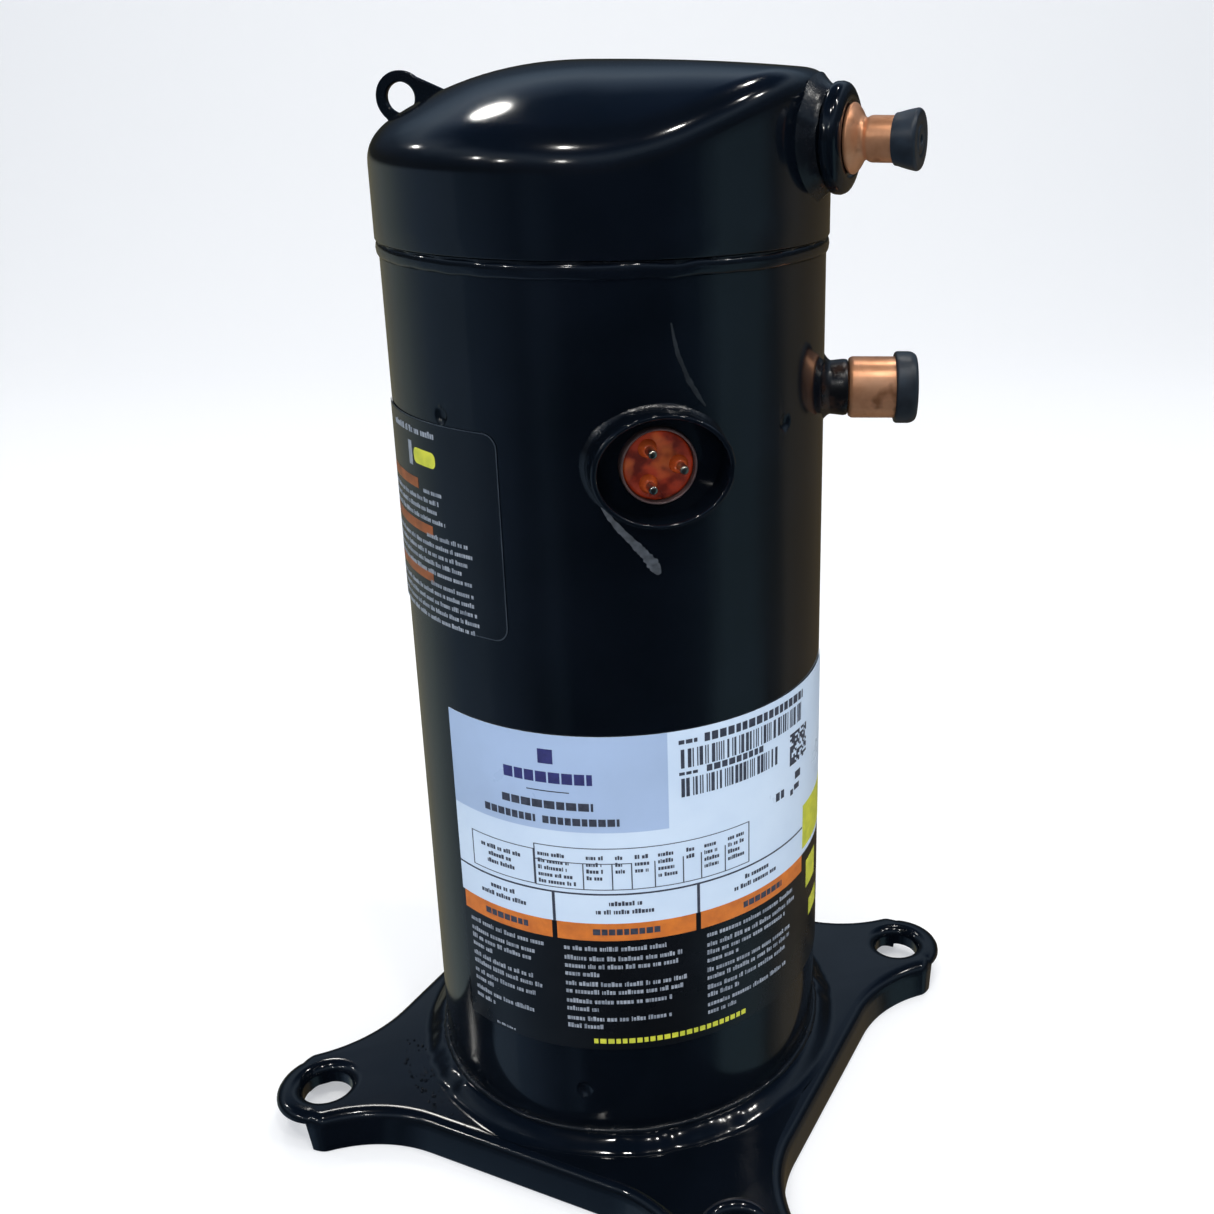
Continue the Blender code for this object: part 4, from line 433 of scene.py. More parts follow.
for key, looks in finishes.items():
    if key == "winding":
        materials[key] = makeLines(realNames[key], looks, "Z", 1.1 * mm)  # 1.1 mm strand pitch
    elif key == "laminations":
        materials[key] = makeLines(realNames[key], looks, "Z", 1.0 * mm)  # 0.5 mm sheets, drawn double
    else:
        materials[key] = makeFinish(realNames[key], looks)
print("materials made:", len(materials))


def keyOf(place):
    return (round(place[0], 7), round(place[1], 7), round(place[2], 7))


def ringPiece(name, rows, closed=False):
    count = len(rows[0])
    bpy.ops.object.select_all(action="DESELECT")
    bpy.ops.mesh.primitive_circle_add(vertices=count, radius=1, fill_type="NOTHING", location=(0, 0, 0))
    piece = bpy.context.object
    piece.name = name
    piece.data.name = name
    for vertex, place in zip(piece.data.vertices, rows[0]):
        vertex.co = place
    bpy.ops.object.mode_set(mode="EDIT")
    bpy.ops.mesh.select_mode(type="VERT")
    bpy.ops.mesh.select_all(action="SELECT")
    steps = list(zip(rows, rows[1:] + ([rows[0]] if closed else [])))
    for before, after in steps:
        lookup = {keyOf(place): index for index, place in enumerate(before)}
        bpy.ops.mesh.extrude_edges_move(TRANSFORM_OT_translate={"value": (0, 0, 0)})
        work = bmesh.from_edit_mesh(piece.data)
        for vertex in work.verts:
            if vertex.select:
                key = keyOf(vertex.co)
                if key not in lookup:  # the mesh keeps fewer digits, so the nearest place stands in
                    key = keyOf(nearestPlace(before, vertex.co))
                vertex.co = after[lookup[key] % len(after)]
        bmesh.update_edit_mesh(piece.data)
    return piece


def nearestPlace(places, target):
    return min((Vector(place) for place in places), key=lambda place: (place - target).length_squared)


def closePole(piece, row, pole):
    # gathers an open ring of points into one
    bpy.ops.mesh.select_all(action="DESELECT")
    work = bmesh.from_edit_mesh(piece.data)
    wanted = {keyOf(place) for place in row}
    for vertex in work.verts:
        vertex.select_set(keyOf(vertex.co) in wanted and any(len(edge.link_faces) < 2 for edge in vertex.link_edges))
    work.select_flush(True)
    bmesh.update_edit_mesh(piece.data)
    bpy.ops.mesh.extrude_edges_move(TRANSFORM_OT_translate={"value": (0, 0, 0)})
    work = bmesh.from_edit_mesh(piece.data)
    for vertex in work.verts:
        if vertex.select:
            vertex.co = pole
    bmesh.update_edit_mesh(piece.data)


def fillRow(piece, row):
    # closes an end with one face across its ring of points
    bpy.ops.mesh.select_all(action="DESELECT")
    work = bmesh.from_edit_mesh(piece.data)
    wanted = {keyOf(place) for place in row}
    for vertex in work.verts:
        vertex.select_set(keyOf(vertex.co) in wanted)
    work.select_flush(True)
    bmesh.update_edit_mesh(piece.data)
    bpy.ops.mesh.edge_face_add()


def finishPiece(piece, material, smoothAngle=35):
    bpy.ops.mesh.select_all(action="SELECT")
    bpy.ops.mesh.remove_doubles(threshold=0.000004)
    bpy.ops.mesh.normals_make_consistent(inside=False)
    bpy.ops.object.mode_set(mode="OBJECT")
    piece.data.materials.clear()
    piece.data.materials.append(materials[material])
    bpy.ops.object.shade_smooth_by_angle(angle=math.radians(smoothAngle))
    return piece


def turnedRows(profile, segments):
    angles = [fullTurn * index / segments for index in range(segments)]
    return [[Vector((radius * math.cos(angle), radius * math.sin(angle), height)) for angle in angles]
            for radius, height in profile]


def outwardPoint(angle, height, side, up, along):
    direction = Vector((math.cos(angle), math.sin(angle), 0))
    sideways = Vector((-math.sin(angle), math.cos(angle), 0))
    return direction * along + sideways * side + Vector((0, 0, height + up))


def outwardRows(profile, segments, angle, height, wobble=None, flat=1.0):
    rows = []
    for radius, along in profile:
        row = []
        for index in range(segments):
            turn = fullTurn * index / segments
            swell = 1 + (wobble(turn, along) if wobble else 0)
            row.append(outwardPoint(angle, height, radius * swell * math.cos(turn),
                                    radius * swell * flat * math.sin(turn), along))
        rows.append(row)
    return rows


def roundedProfile(corners, steps=4):
    # corners are (radius, along, rounding); each rounding becomes a short arc
    points = []
    count = len(corners)
    for index, (radius, along, rounding) in enumerate(corners):
        here = Vector((radius, along))
        if rounding <= 0:
            points.append((here.x, here.y))
            continue
        before = Vector(corners[index - 1][:2])
        after = Vector(corners[(index + 1) % count][:2])
        inward, onward = (before - here), (after - here)
        reach = min(rounding, inward.length * 0.45, onward.length * 0.45)
        start, end = here + inward.normalized() * reach, here + onward.normalized() * reach
        for step in range(steps + 1):
            share = step / steps
            place = start * (1 - share) ** 2 + here * 2 * share * (1 - share) + end * share ** 2
            points.append((place.x, place.y))
    return points


def ride(piece, slot, *nodes, body="enclosure"):
    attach(piece, body)
    if nodes:
        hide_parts(*nodes)
    return piece


def cutWith(piece, cutter, operation="DIFFERENCE"):
    bpy.ops.object.select_all(action="DESELECT")
    piece.select_set(True)
    bpy.context.view_layer.objects.active = piece
    bpy.ops.object.modifier_add(type="BOOLEAN")
    modifier = piece.modifiers[-1]
    modifier.operation = operation
    modifier.solver = "EXACT"
    modifier.object = cutter
    bpy.ops.object.modifier_apply(modifier=modifier.name)
    bpy.data.objects.remove(cutter)


def settleNormals(piece, smoothAngle=35):
    bpy.ops.object.select_all(action="DESELECT")
    piece.select_set(True)
    bpy.context.view_layer.objects.active = piece
    bpy.ops.object.shade_smooth_by_angle(angle=math.radians(smoothAngle))
    bpy.ops.object.modifier_add(type="WEIGHTED_NORMAL")
    modifier = piece.modifiers[-1]
    modifier.keep_sharp = True
    modifier.weight = 80
    bpy.ops.object.modifier_apply(modifier=modifier.name)


def turnedCutter(name, profile, segments, angle=None, height=0.0, centre=(0, 0, 0)):
    if angle is None:
        rows = [[place + Vector(centre) for place in row] for row in turnedRows(profile, segments)]
    else:
        rows = outwardRows(profile, segments, angle, height)
    piece = ringPiece(name, rows)
    for row in (rows[0], rows[-1]):
        fillRow(piece, row)
    return finishPiece(piece, "paint", 80)


plate = {"thickness": 3.5 * mm, "halfWidth": 22.5 * mm, "flangeEnd": 9.1 * mm, "tipRadius": 20.5 * mm,
         "waist": 15.0 * mm, "sweep": 55.0 * mm, "bend": 5.0 * mm, "tipEdge": 4.1 * mm,
         "collarRise": 5.0 * mm, "holeRadius": 10.0 * mm, "lipRound": 4.5 * mm, "lipWall": 3.5 * mm,
         "lipDepth": 8.5 * mm}


def footQuarter():
    half = []
    for step in range(13):
        turn = math.radians(60) * step / 12
        half.append((footCircle + plate["tipRadius"] * math.cos(turn), plate["tipRadius"] * math.sin(turn),
                     math.cos(turn), math.sin(turn), plate["tipEdge"]))
    endX, startX, startY = footCircle + plate["flangeEnd"] - 6.5 * mm, half[-1][0], half[-1][1]
    for step in range(1, 10):
        share = step / 9
        lean = math.radians(60) + math.radians(30) * share
        deep = min(step / 2, 1.0)
        half.append((startX + (endX - startX) * share,
                     startY + (plate["halfWidth"] - startY) * math.sin(share * math.pi / 2),
                     math.cos(lean), math.sin(lean), plate["tipEdge"] + (plateTop - plate["tipEdge"]) * deep))
    waist = shellRadius + plate["waist"]
    cornerX = waist * math.sqrt(2) - plate["halfWidth"]
    tangent = plate["sweep"] * math.tan(math.pi / 8)
    centre = (cornerX + tangent, plate["halfWidth"] + plate["sweep"])
    for step in range(17):
        turn = -math.pi / 2 - math.pi / 4 * step / 16
        half.append((centre[0] + plate["sweep"] * math.cos(turn), centre[1] + plate["sweep"] * math.sin(turn),
                     -math.cos(turn), -math.sin(turn), plateTop))
    diagonal = math.sqrt(0.5)
    lastX, lastY = half[-1][:2]
    for step in range(1, 5):
        share = step / 4
        half.append((lastX + (waist * diagonal - lastX) * share, lastY + (waist * diagonal - lastY) * share,
                     diagonal, diagonal, plateTop))
    return half + [(y, x, ny, nx, depth) for x, y, nx, ny, depth in reversed(half[1:-1])]


def plateOutline():
    outline = []
    for turn in range(4):
        sine, cosine = round(math.sin(turn * math.pi / 2)), round(math.cos(turn * math.pi / 2))
        for x, y, nx, ny, depth in footQuarter():
            outline.append((x * cosine - y * sine, x * sine + y * cosine,
                            nx * cosine - ny * sine, nx * sine + ny * cosine, depth))
    return outline


def makeBasePlate():
    outline = plateOutline()
    seat = shellRadius + 0.3 * mm
    top, thick = plateTop, plate["thickness"]

    def circleRow(radius, height, ripple=0.0):
        row = []
        for x, y, *_ in outline:
            angle = math.atan2(y, x)
            lift = ripple * noise.noise(Vector((math.cos(angle) * 14, math.sin(angle) * 14, radius * 90)))
            row.append(Vector((radius * math.cos(angle), radius * math.sin(angle), height + lift)))
        return row

    def insetRow(inset, height):
        return [Vector((x - nx * inset, y - ny * inset, height(depth))) for x, y, nx, ny, depth in outline]

    rows = [circleRow(seat - 18 * mm, top - 7.5 * mm), circleRow(seat - 6 * mm, top), circleRow(seat, top)]
    rise = plate["collarRise"]
    for radius, height, ripple in ((0.0, 0.75, 0.0), (0.2, 0.9, 0.0), (0.7, 0.98, 0.1), (1.5, 1.0, 0.4),
                                   (2.4, 0.97, 0.7), (3.4, 0.86, 0.9), (4.4, 0.74, 0.9), (5.6, 0.56, 0.9),
                                   (6.8, 0.36, 0.8), (7.9, 0.18, 0.6), (9.2, 0.06, 0.3), (10.8, 0.0, 0.0)):
        rows.append(circleRow(seat + radius * mm, top + height * rise, ripple * mm))
    rows.append(insetRow(plate["bend"] + 0.6 * mm, lambda depth: top))
    for step in range(1, 7):
        turn = math.pi / 2 * step / 6
        rows.append(insetRow(plate["bend"] * (1 - math.sin(turn)), lambda depth: top - (1 - math.cos(turn)) * min(
            plate["bend"], depth - 0.8 * mm)))
    rows.append(insetRow(0.0, lambda depth: top - depth + 0.5 * mm if depth > 6 * mm else top - depth + 0.3 * mm))
    rows.append(insetRow(0.4 * mm, lambda depth: top - depth))
    rows.append(insetRow(thick - 0.4 * mm, lambda depth: top - depth))
    rows.append(insetRow(thick, lambda depth: top - depth + 0.3 * mm))
    rows.append(insetRow(thick + 0.6 * mm, lambda depth: top - thick - 0.4 * mm))
    rows.append(insetRow(thick + 1.8 * mm, lambda depth: top - thick))
    rows.append(circleRow(seat + 9 * mm, top - thick))
    rows.append(circleRow(seat - 6 * mm, top - thick))
    rows.append(circleRow(seat - 18 * mm, top - 7.5 * mm - thick))
    piece = ringPiece("basePlate", rows)
    closePole(piece, rows[0], Vector((0, 0, top - 7.5 * mm)))
    closePole(piece, rows[-1], Vector((0, 0, top - 7.5 * mm - thick)))
    finishPiece(piece, "paint", 40)
    lipLow = top - plate["lipDepth"]
    places = [(footCircle * math.cos(foot * math.pi / 2), footCircle * math.sin(foot * math.pi / 2), 0)
              for foot in range(4)]
    outer = plate["holeRadius"] + plate["lipWall"]
    for foot, place in enumerate(places):
        profile = [(outer, top - 2 * mm), (outer, lipLow + 0.5 * mm), (outer - 0.5 * mm, lipLow)]
        cutWith(piece, turnedCutter(f"footLip{foot}", profile, 48, centre=place), "UNION")
    rim = plate["holeRadius"] + plate["lipRound"]
    bore = [(rim + 0.01 * mm, top + 2 * mm), (rim, top - 0.002 * mm)]
    for step in range(1, 8):
        turn = math.pi / 2 * step / 7
        bore.append((rim - plate["lipRound"] * math.sin(turn), top - plate["lipRound"] * (1 - math.cos(turn))))
    bore.append((plate["holeRadius"], lipLow - 2 * mm))
    for foot, place in enumerate(places):
        cutWith(piece, turnedCutter(f"footBore{foot}", bore, 64, centre=place))
    settleNormals(piece, 40)
    return ride(piece, "black_paint", "base_plate")


shell = {"wall": 3.2 * mm, "segments": 192, "stakeRadius": 3.2 * mm, "stakeDepth": 1.6 * mm,
         "stakes": ((-150.5, 309 * mm), (-57.5, 303 * mm), (-119.3, 41 * mm), (-29.0, 41 * mm), (32.0, 305 * mm),
                    (121.0, 305 * mm), (60.0, 41 * mm), (150.0, 41 * mm))}


def makeShell():
    levels = [shellLow + 0.2 * mm, 30 * mm, 90 * mm, 150 * mm, 210 * mm, terminalHeight - 20 * mm,
              terminalHeight + 20 * mm, 335 * mm, shellHigh - 0.2 * mm]
    profile = [(shellRadius - 0.2 * mm, shellLow)] + [(shellRadius, level) for level in levels]
    profile += [(shellRadius - 0.2 * mm, shellHigh), (shellRadius - shell["wall"], shellHigh)]
    profile += [(shellRadius - shell["wall"], shellLow)]
    piece = ringPiece("shellTube", turnedRows(profile, shell["segments"]), closed=True)
    finishPiece(piece, "drawnPaint", 40)
    cupReach = cupRadius + 0.3 * mm
    cutWith(piece, turnedCutter("terminalHole", [(cupReach, shellRadius - 12 * mm), (cupReach, shellRadius + 5 * mm)],
                                64, terminalAngle, terminalHeight))
    for angle, level in shell["stakes"]:
        radius, depth = shell["stakeRadius"], shell["stakeDepth"]
        profile = [(radius * 1.35, shellRadius + 1 * mm), (radius * 1.15, shellRadius - 0.02 * mm),
                   (radius * 0.95, shellRadius - 0.3 * depth), (radius * 0.7, shellRadius - 0.75 * depth),
                   (radius * 0.3, shellRadius - depth)]
        cutWith(piece, turnedCutter("stake", profile, 24, math.radians(angle), level))
    settleNormals(piece, 40)
    return ride(piece, "black_paint", "center_shell")


def beadRows(radius, height, thickness, tall, segments, seed, ripple=0.22):
    rows = []
    steps = 10
    for step in range(steps):
        turn = fullTurn * step / steps
        row = []
        for index in range(segments):
            angle = fullTurn * index / segments
            where = Vector((math.cos(angle) * 3.2, math.sin(angle) * 3.2, seed))
            swell = 1 + ripple * noise.noise(where * 6) + 0.5 * ripple * noise.noise(where * 22)
            drift = 0.25 * tall * noise.noise(where * 2.3)
            row.append(Vector(((radius + thickness * swell * math.cos(turn)) * math.cos(angle),
                               (radius + thickness * swell * math.cos(turn)) * math.sin(angle),
                               height + drift + tall * swell * math.sin(turn))))
        rows.append(row)
    return rows


def makeSeams():
    seam = ringPiece("seamWeld", beadRows(shellRadius - 0.1 * mm, (shellHigh + capLow) / 2 - 0.4 * mm, 1.15 * mm,
                                          2.7 * mm, 240, 1.0, 0.07), closed=True)
    ride(finishPiece(seam, "paint", 60), "black_paint")
    foot = ringPiece("footWeld", beadRows(shellRadius + 0.4 * mm, plateTop + 5.2 * mm, 1.5 * mm, 1.3 * mm, 240, 7.0,
                                          0.3), closed=True)
    ride(finishPiece(foot, "weldPaint", 60), "black_paint")


cap = {"wall": 3.2 * mm, "lowDrop": 26.0 * mm, "highDrop": 3.5 * mm, "power": 2.3, "shoulder": 9.0 * mm,
       "shoulderStart": 0.88, "halfAngle": 9, "riseAngle": 60, "segments": 144}


def smoothStep(value):
    value = min(max(value, 0.0), 1.0)
    return value * value * (3 - 2 * value)


def capDrop(angle):
    away = abs(math.remainder(angle - dischargeAngle, fullTurn))
    share = smoothStep((away - math.radians(cap["halfAngle"])) / math.radians(cap["riseAngle"]))
    return cap["highDrop"] + share * (cap["lowDrop"] - cap["highDrop"])


def capHeight(radius, angle):
    return capHigh - capDrop(angle) * (radius / capRadius) ** cap["power"]


def capProfile(angle):
    points = []
    start = cap["shoulderStart"]
    for step in range(1, 17):
        share = start * step / 16
        points.append((share * capRadius, capHeight(share * capRadius, angle)))
    first = Vector(points[-1])
    slope = -capDrop(angle) * cap["power"] * start ** (cap["power"] - 1) / capRadius
    corner = Vector((capRadius, first.y + slope * (capRadius - first.x)))
    last = corner - Vector((0, cap["shoulder"]))
    for step in range(1, 13):
        share = step / 12
        place = first * (1 - share) ** 2 + corner * 2 * share * (1 - share) + last * share ** 2
        points.append((place.x, place.y))
    wallTop, wallLow = points[-1][1], capLow + 0.5 * mm
    for share in (0.1, 0.4, 0.7, 1.0):
        points.append((capRadius, wallTop + (wallLow - wallTop) * share))
    points.append((capRadius - 0.15 * mm, capLow + 0.15 * mm))
    points.append((capRadius - 0.5 * mm, capLow))
    points.append((capRadius - cap["wall"], capLow))
    points.append((capRadius - cap["wall"], wallTop - 4 * mm))
    points.append((capRadius * 0.8, wallTop - 2 * mm))
    points.append((capRadius * 0.3, capHigh - 2.5 * cap["wall"] - 0.4 * capDrop(angle)))
    return points


def makeCap():
    angles = [fullTurn * index / cap["segments"] for index in range(cap["segments"])]
    profiles = [capProfile(angle) for angle in angles]
    rows = []
    for level in range(len(profiles[0])):
        rows.append([Vector((profile[level][0] * math.cos(angle), profile[level][0] * math.sin(angle),
                             profile[level][1])) for angle, profile in zip(angles, profiles)])
    piece = ringPiece("topCap", rows)
    closePole(piece, rows[0], Vector((0, 0, capHigh)))
    closePole(piece, rows[-1], Vector((0, 0, capHigh - 2.5 * cap["wall"] - 8 * mm)))
    finishPiece(piece, "paint", 50)
    return ride(piece, "black_paint", "top_cap")


def makeBoss():
    end = outwardReach("discharge_boss", dischargeAngle)[1]
    radius = 18.5 * mm
    corners = [(radius - 1.5 * mm, capRadius - 7 * mm, 0), (radius - 1.2 * mm, end - 9.6 * mm, 1.2 * mm),
               (radius - 2.9 * mm, end - 8.2 * mm, 1.1 * mm), (radius - 2.6 * mm, end - 7.4 * mm, 1.0 * mm),
               (radius, end - 6.0 * mm, 1.4 * mm), (radius, end - 1.6 * mm, 2.6 * mm),
               (radius - 3.4 * mm, end, 2.2 * mm), (12.8 * mm, end, 0.5 * mm), (12.2 * mm, end - 0.8 * mm, 0),
               (6.9 * mm, end - 0.9 * mm, 0), (6.9 * mm, capRadius - 7 * mm, 0)]

    def lumps(turn, along):
        where = Vector((math.cos(turn) * 1.6, math.sin(turn) * 1.6, along * 160))
        return 0.018 * noise.noise(where) if along < end - 3 * mm else 0.004 * noise.noise(where)

    rows = outwardRows(roundedProfile(corners, 5), 96, dischargeAngle, dischargeHeight, lumps)
    piece = finishPiece(ringPiece("dischargeBoss", rows, closed=True), "paint", 50)
    ride(piece, "black_paint", "discharge_boss")
    # weld fillet round the root of the boss, with a few drips under it
    rows = []
    for step in range(9):
        share = step / 8
        row = []
        for index in range(96):
            turn = fullTurn * index / 96
            drip = max(0.0, noise.noise(Vector((math.cos(turn) * 4, math.sin(turn) * 4, 3.0)))) * (
                1.6 if math.sin(turn) < -0.2 else 0.6)
            flare = (1.0 + 0.3 * drip) * 4.4 * mm * (1 - share) ** 1.6
            radial = radius - 1.4 * mm + flare
            side, up = radial * math.cos(turn), radial * math.sin(turn)
            wall = math.sqrt(max(capRadius ** 2 - side ** 2, 0))
            row.append(outwardPoint(dischargeAngle, dischargeHeight, side, up,
                                    wall - 0.6 * mm + (5.4 * mm + 1.0 * mm * drip) * share))
        rows.append(row)
    inner = [outwardPoint(dischargeAngle, dischargeHeight, (radius - 3 * mm) * math.cos(fullTurn * index / 96),
                          (radius - 3 * mm) * math.sin(fullTurn * index / 96), capRadius - 6 * mm)
             for index in range(96)]
    rows.append(inner)
    fillet = finishPiece(ringPiece("bossFillet", rows, closed=True), "weldPaint", 70)
    ride(fillet, "black_paint")


def makeDischargeStub():
    start, end = outwardReach("discharge_tube", dischargeAngle)
    seat = outwardReach("discharge_boss", dischargeAngle)[1] + 0.3 * mm
    corners = [(5.7 * mm, start, 0), (6.7 * mm, start, 0), (6.7 * mm, seat - 0.6 * mm, 0),
               (11.4 * mm, seat - 0.6 * mm, 0.5 * mm), (12.0 * mm, seat + 0.7 * mm, 0.7 * mm),
               (10.6 * mm, seat + 2.1 * mm, 1.2 * mm), (7.7 * mm, seat + 3.8 * mm, 1.4 * mm),
               (6.75 * mm, seat + 5.0 * mm, 1.0 * mm), (7.75 * mm, seat + 6.6 * mm, 1.0 * mm),
               (7.75 * mm, end - 0.3 * mm, 0.2 * mm), (7.4 * mm, end, 0.2 * mm), (6.75 * mm, end, 0),
               (6.75 * mm, seat + 7.5 * mm, 0), (5.7 * mm, seat + 6.5 * mm, 0)]
    rows = outwardRows(roundedProfile(corners, 4), 72, dischargeAngle, dischargeHeight)
    tube = finishPiece(ringPiece("dischargeStub", rows, closed=True), "copper", 50)
    ride(tube, "copper", "discharge_tube")
    start, end = outwardReach("discharge_plug", dischargeAngle)
    corners = [(1.8 * mm, end, 0.4 * mm), (4.2 * mm, end, 0.3 * mm), (4.9 * mm, end - 0.5 * mm, 0.3 * mm),
               (6.0 * mm, end - 0.1 * mm, 0.4 * mm), (9.6 * mm, end - 0.1 * mm, 0.7 * mm),
               (10.35 * mm, end - 1.1 * mm, 0.8 * mm), (9.7 * mm, end - 4.4 * mm, 1.0 * mm),
               (8.75 * mm, start + 1.0 * mm, 0.8 * mm), (8.6 * mm, start, 0.3 * mm), (8.05 * mm, start, 0),
               (8.05 * mm, end - 5.0 * mm, 0), (1.8 * mm, end - 5.0 * mm, 0)]
    rows = outwardRows(roundedProfile(corners, 4), 64, dischargeAngle, dischargeHeight)
    plug = finishPiece(ringPiece("dischargePlug", rows, closed=True), "rubber", 50)
    ride(plug, "plug_rubber", "discharge_plug", body="discharge_cap")


def makeSuctionStub():
    start, end = outwardReach("suction_fitting", suctionAngle)
    corners = [(8.6 * mm, start, 0), (10.2 * mm, start, 0), (10.2 * mm, shellRadius + 2.5 * mm, 1.6 * mm),
               (10.9 * mm, end - 1.6 * mm, 1.6 * mm), (10.5 * mm, end - 0.1 * mm, 0.6 * mm), (8.6 * mm, end, 0)]

    def lumps(turn, along):
        return 0.02 * noise.noise(Vector((math.cos(turn) * 1.7, math.sin(turn) * 1.7, along * 200)))

    rows = outwardRows(roundedProfile(corners, 4), 72, suctionAngle, suctionHeight, lumps)
    neck = finishPiece(ringPiece("suctionNeck", rows, closed=True), "burntPaint", 50)
    ride(neck, "black_paint", "suction_fitting")
    rows = []
    for step in range(8):
        share = step / 7
        row = []
        for index in range(84):
            turn = fullTurn * index / 84
            bulge = 0.35 * noise.noise(Vector((math.cos(turn) * 3, math.sin(turn) * 3, 9.0)))
            radial = 10.2 * mm + (1 + bulge) * 3.0 * mm * (1 - share) ** 1.7
            side, up = radial * math.cos(turn), radial * math.sin(turn)
            wall = math.sqrt(shellRadius ** 2 - side ** 2)
            row.append(outwardPoint(suctionAngle, suctionHeight, side, up, wall - 0.5 * mm + 3.4 * mm * share))
        rows.append(row)
    rows.append([outwardPoint(suctionAngle, suctionHeight, 8.8 * mm * math.cos(fullTurn * index / 84),
                              8.8 * mm * math.sin(fullTurn * index / 84), shellRadius - 4 * mm)
                 for index in range(84)])
    fillet = finishPiece(ringPiece("suctionFillet", rows, closed=True), "burntPaint", 70)
    ride(fillet, "black_paint")
    start, end = outwardReach("suction_tube", suctionAngle)
    neckEnd = outwardReach("suction_fitting", suctionAngle)[1] + 0.3 * mm
    corners = [(7.3 * mm, start, 0), (8.3 * mm, start, 0), (8.3 * mm, neckEnd, 0), (11.0 * mm, neckEnd, 0.4 * mm),
               (11.75 * mm, neckEnd + 1.2 * mm, 0.6 * mm), (11.75 * mm, end - 0.3 * mm, 0.2 * mm),
               (11.4 * mm, end, 0.2 * mm), (10.75 * mm, end, 0), (10.75 * mm, neckEnd + 2 * mm, 0),
               (7.3 * mm, neckEnd + 1 * mm, 0)]
    rows = outwardRows(roundedProfile(corners, 4), 84, suctionAngle, suctionHeight)
    tube = finishPiece(ringPiece("suctionStub", rows, closed=True), "copper", 50)
    ride(tube, "copper", "suction_tube")
    start, end = outwardReach("suction_plug", suctionAngle)
    corners = [(12.05 * mm, end - 5.0 * mm, 0), (12.05 * mm, start, 0), (13.2 * mm, start, 0.5 * mm),
               (13.75 * mm, start + 0.8 * mm, 0.7 * mm), (13.75 * mm, end - 2.2 * mm, 1.6 * mm),
               (12.4 * mm, end, 1.4 * mm), (9.0 * mm, end, 0.4 * mm), (8.2 * mm, end - 0.5 * mm, 0.4 * mm),
               (0.8 * mm, end - 0.5 * mm, 0)]
    rows = outwardRows(roundedProfile(corners, 4), 84, suctionAngle, suctionHeight)
    plug = ringPiece("suctionPlug", rows)
    closePole(plug, rows[0], outwardPoint(suctionAngle, suctionHeight, 0, 0, end - 5.0 * mm))
    closePole(plug, rows[-1], outwardPoint(suctionAngle, suctionHeight, 0, 0, end - 0.5 * mm))
    ride(finishPiece(plug, "rubber", 50), "plug_rubber", "suction_plug", body="suction_cap")


eye = {"radius": 9.5 * mm, "hole": 5.5 * mm, "reach": 75.5 * mm, "lift": 7.5 * mm, "footStart": 57.0 * mm,
       "thickness": 3.0 * mm}


def makeLiftingEye():
    middle = (eye["reach"], capHeight(eye["reach"], lugAngle) + eye["lift"])
    outline = []
    for step in range(33):
        turn = math.radians(-50 + 180 * step / 32)
        outline.append((middle[0] + eye["radius"] * math.cos(turn), middle[1] + eye["radius"] * math.sin(turn)))
    footEnd = eye["reach"] + 0.4 * eye["radius"]
    for step in range(13):
        radius = eye["footStart"] + (footEnd - eye["footStart"]) * step / 12
        outline.append((radius, capHeight(radius, lugAngle) - 0.3 * mm))
    half = eye["thickness"] / 2
    inset = 0.5 * mm

    def plateRow(shrink, side):
        row = []
        for x, z in outline:
            towards = Vector((middle[0] - 3 * mm - x, middle[1] - z)).normalized() * shrink
            row.append(outwardPoint(lugAngle, 0, side, z + towards.y, x + towards.x))
        return row

    rows = [plateRow(inset, -half), plateRow(0.1 * mm, -half + 0.3 * mm), plateRow(0.0, -half + 0.7 * mm),
            plateRow(0.0, half - 0.7 * mm), plateRow(0.1 * mm, half - 0.3 * mm), plateRow(inset, half)]
    piece = ringPiece("liftingEye", rows)
    for row in (rows[0], rows[-1]):
        fillRow(piece, row)
    finishPiece(piece, "paint", 40)
    hole = []
    for along, grow in ((-half - 1 * mm, 1.5), (-half, 0.5), (-half + 0.6 * mm, 0.0), (half - 0.6 * mm, 0.0),
                        (half, 0.5), (half + 1 * mm, 1.5)):
        row = []
        for index in range(40):
            turn = fullTurn * index / 40
            radius = eye["hole"] + grow * mm
            row.append(outwardPoint(lugAngle, 0, along, middle[1] + radius * math.sin(turn),
                                    middle[0] + radius * math.cos(turn)))
        hole.append(row)
    cutter = ringPiece("eyeHole", hole)
    for row in (hole[0], hole[-1]):
        fillRow(cutter, row)
    finishPiece(cutter, "paint")
    cutWith(piece, cutter)
    settleNormals(piece, 40)
    ride(piece, "black_paint", "lifting_lug")


terminal = {"fenceWall": 2.0 * mm, "pinRadius": 1.55 * mm, "notch": 5.0 * mm}


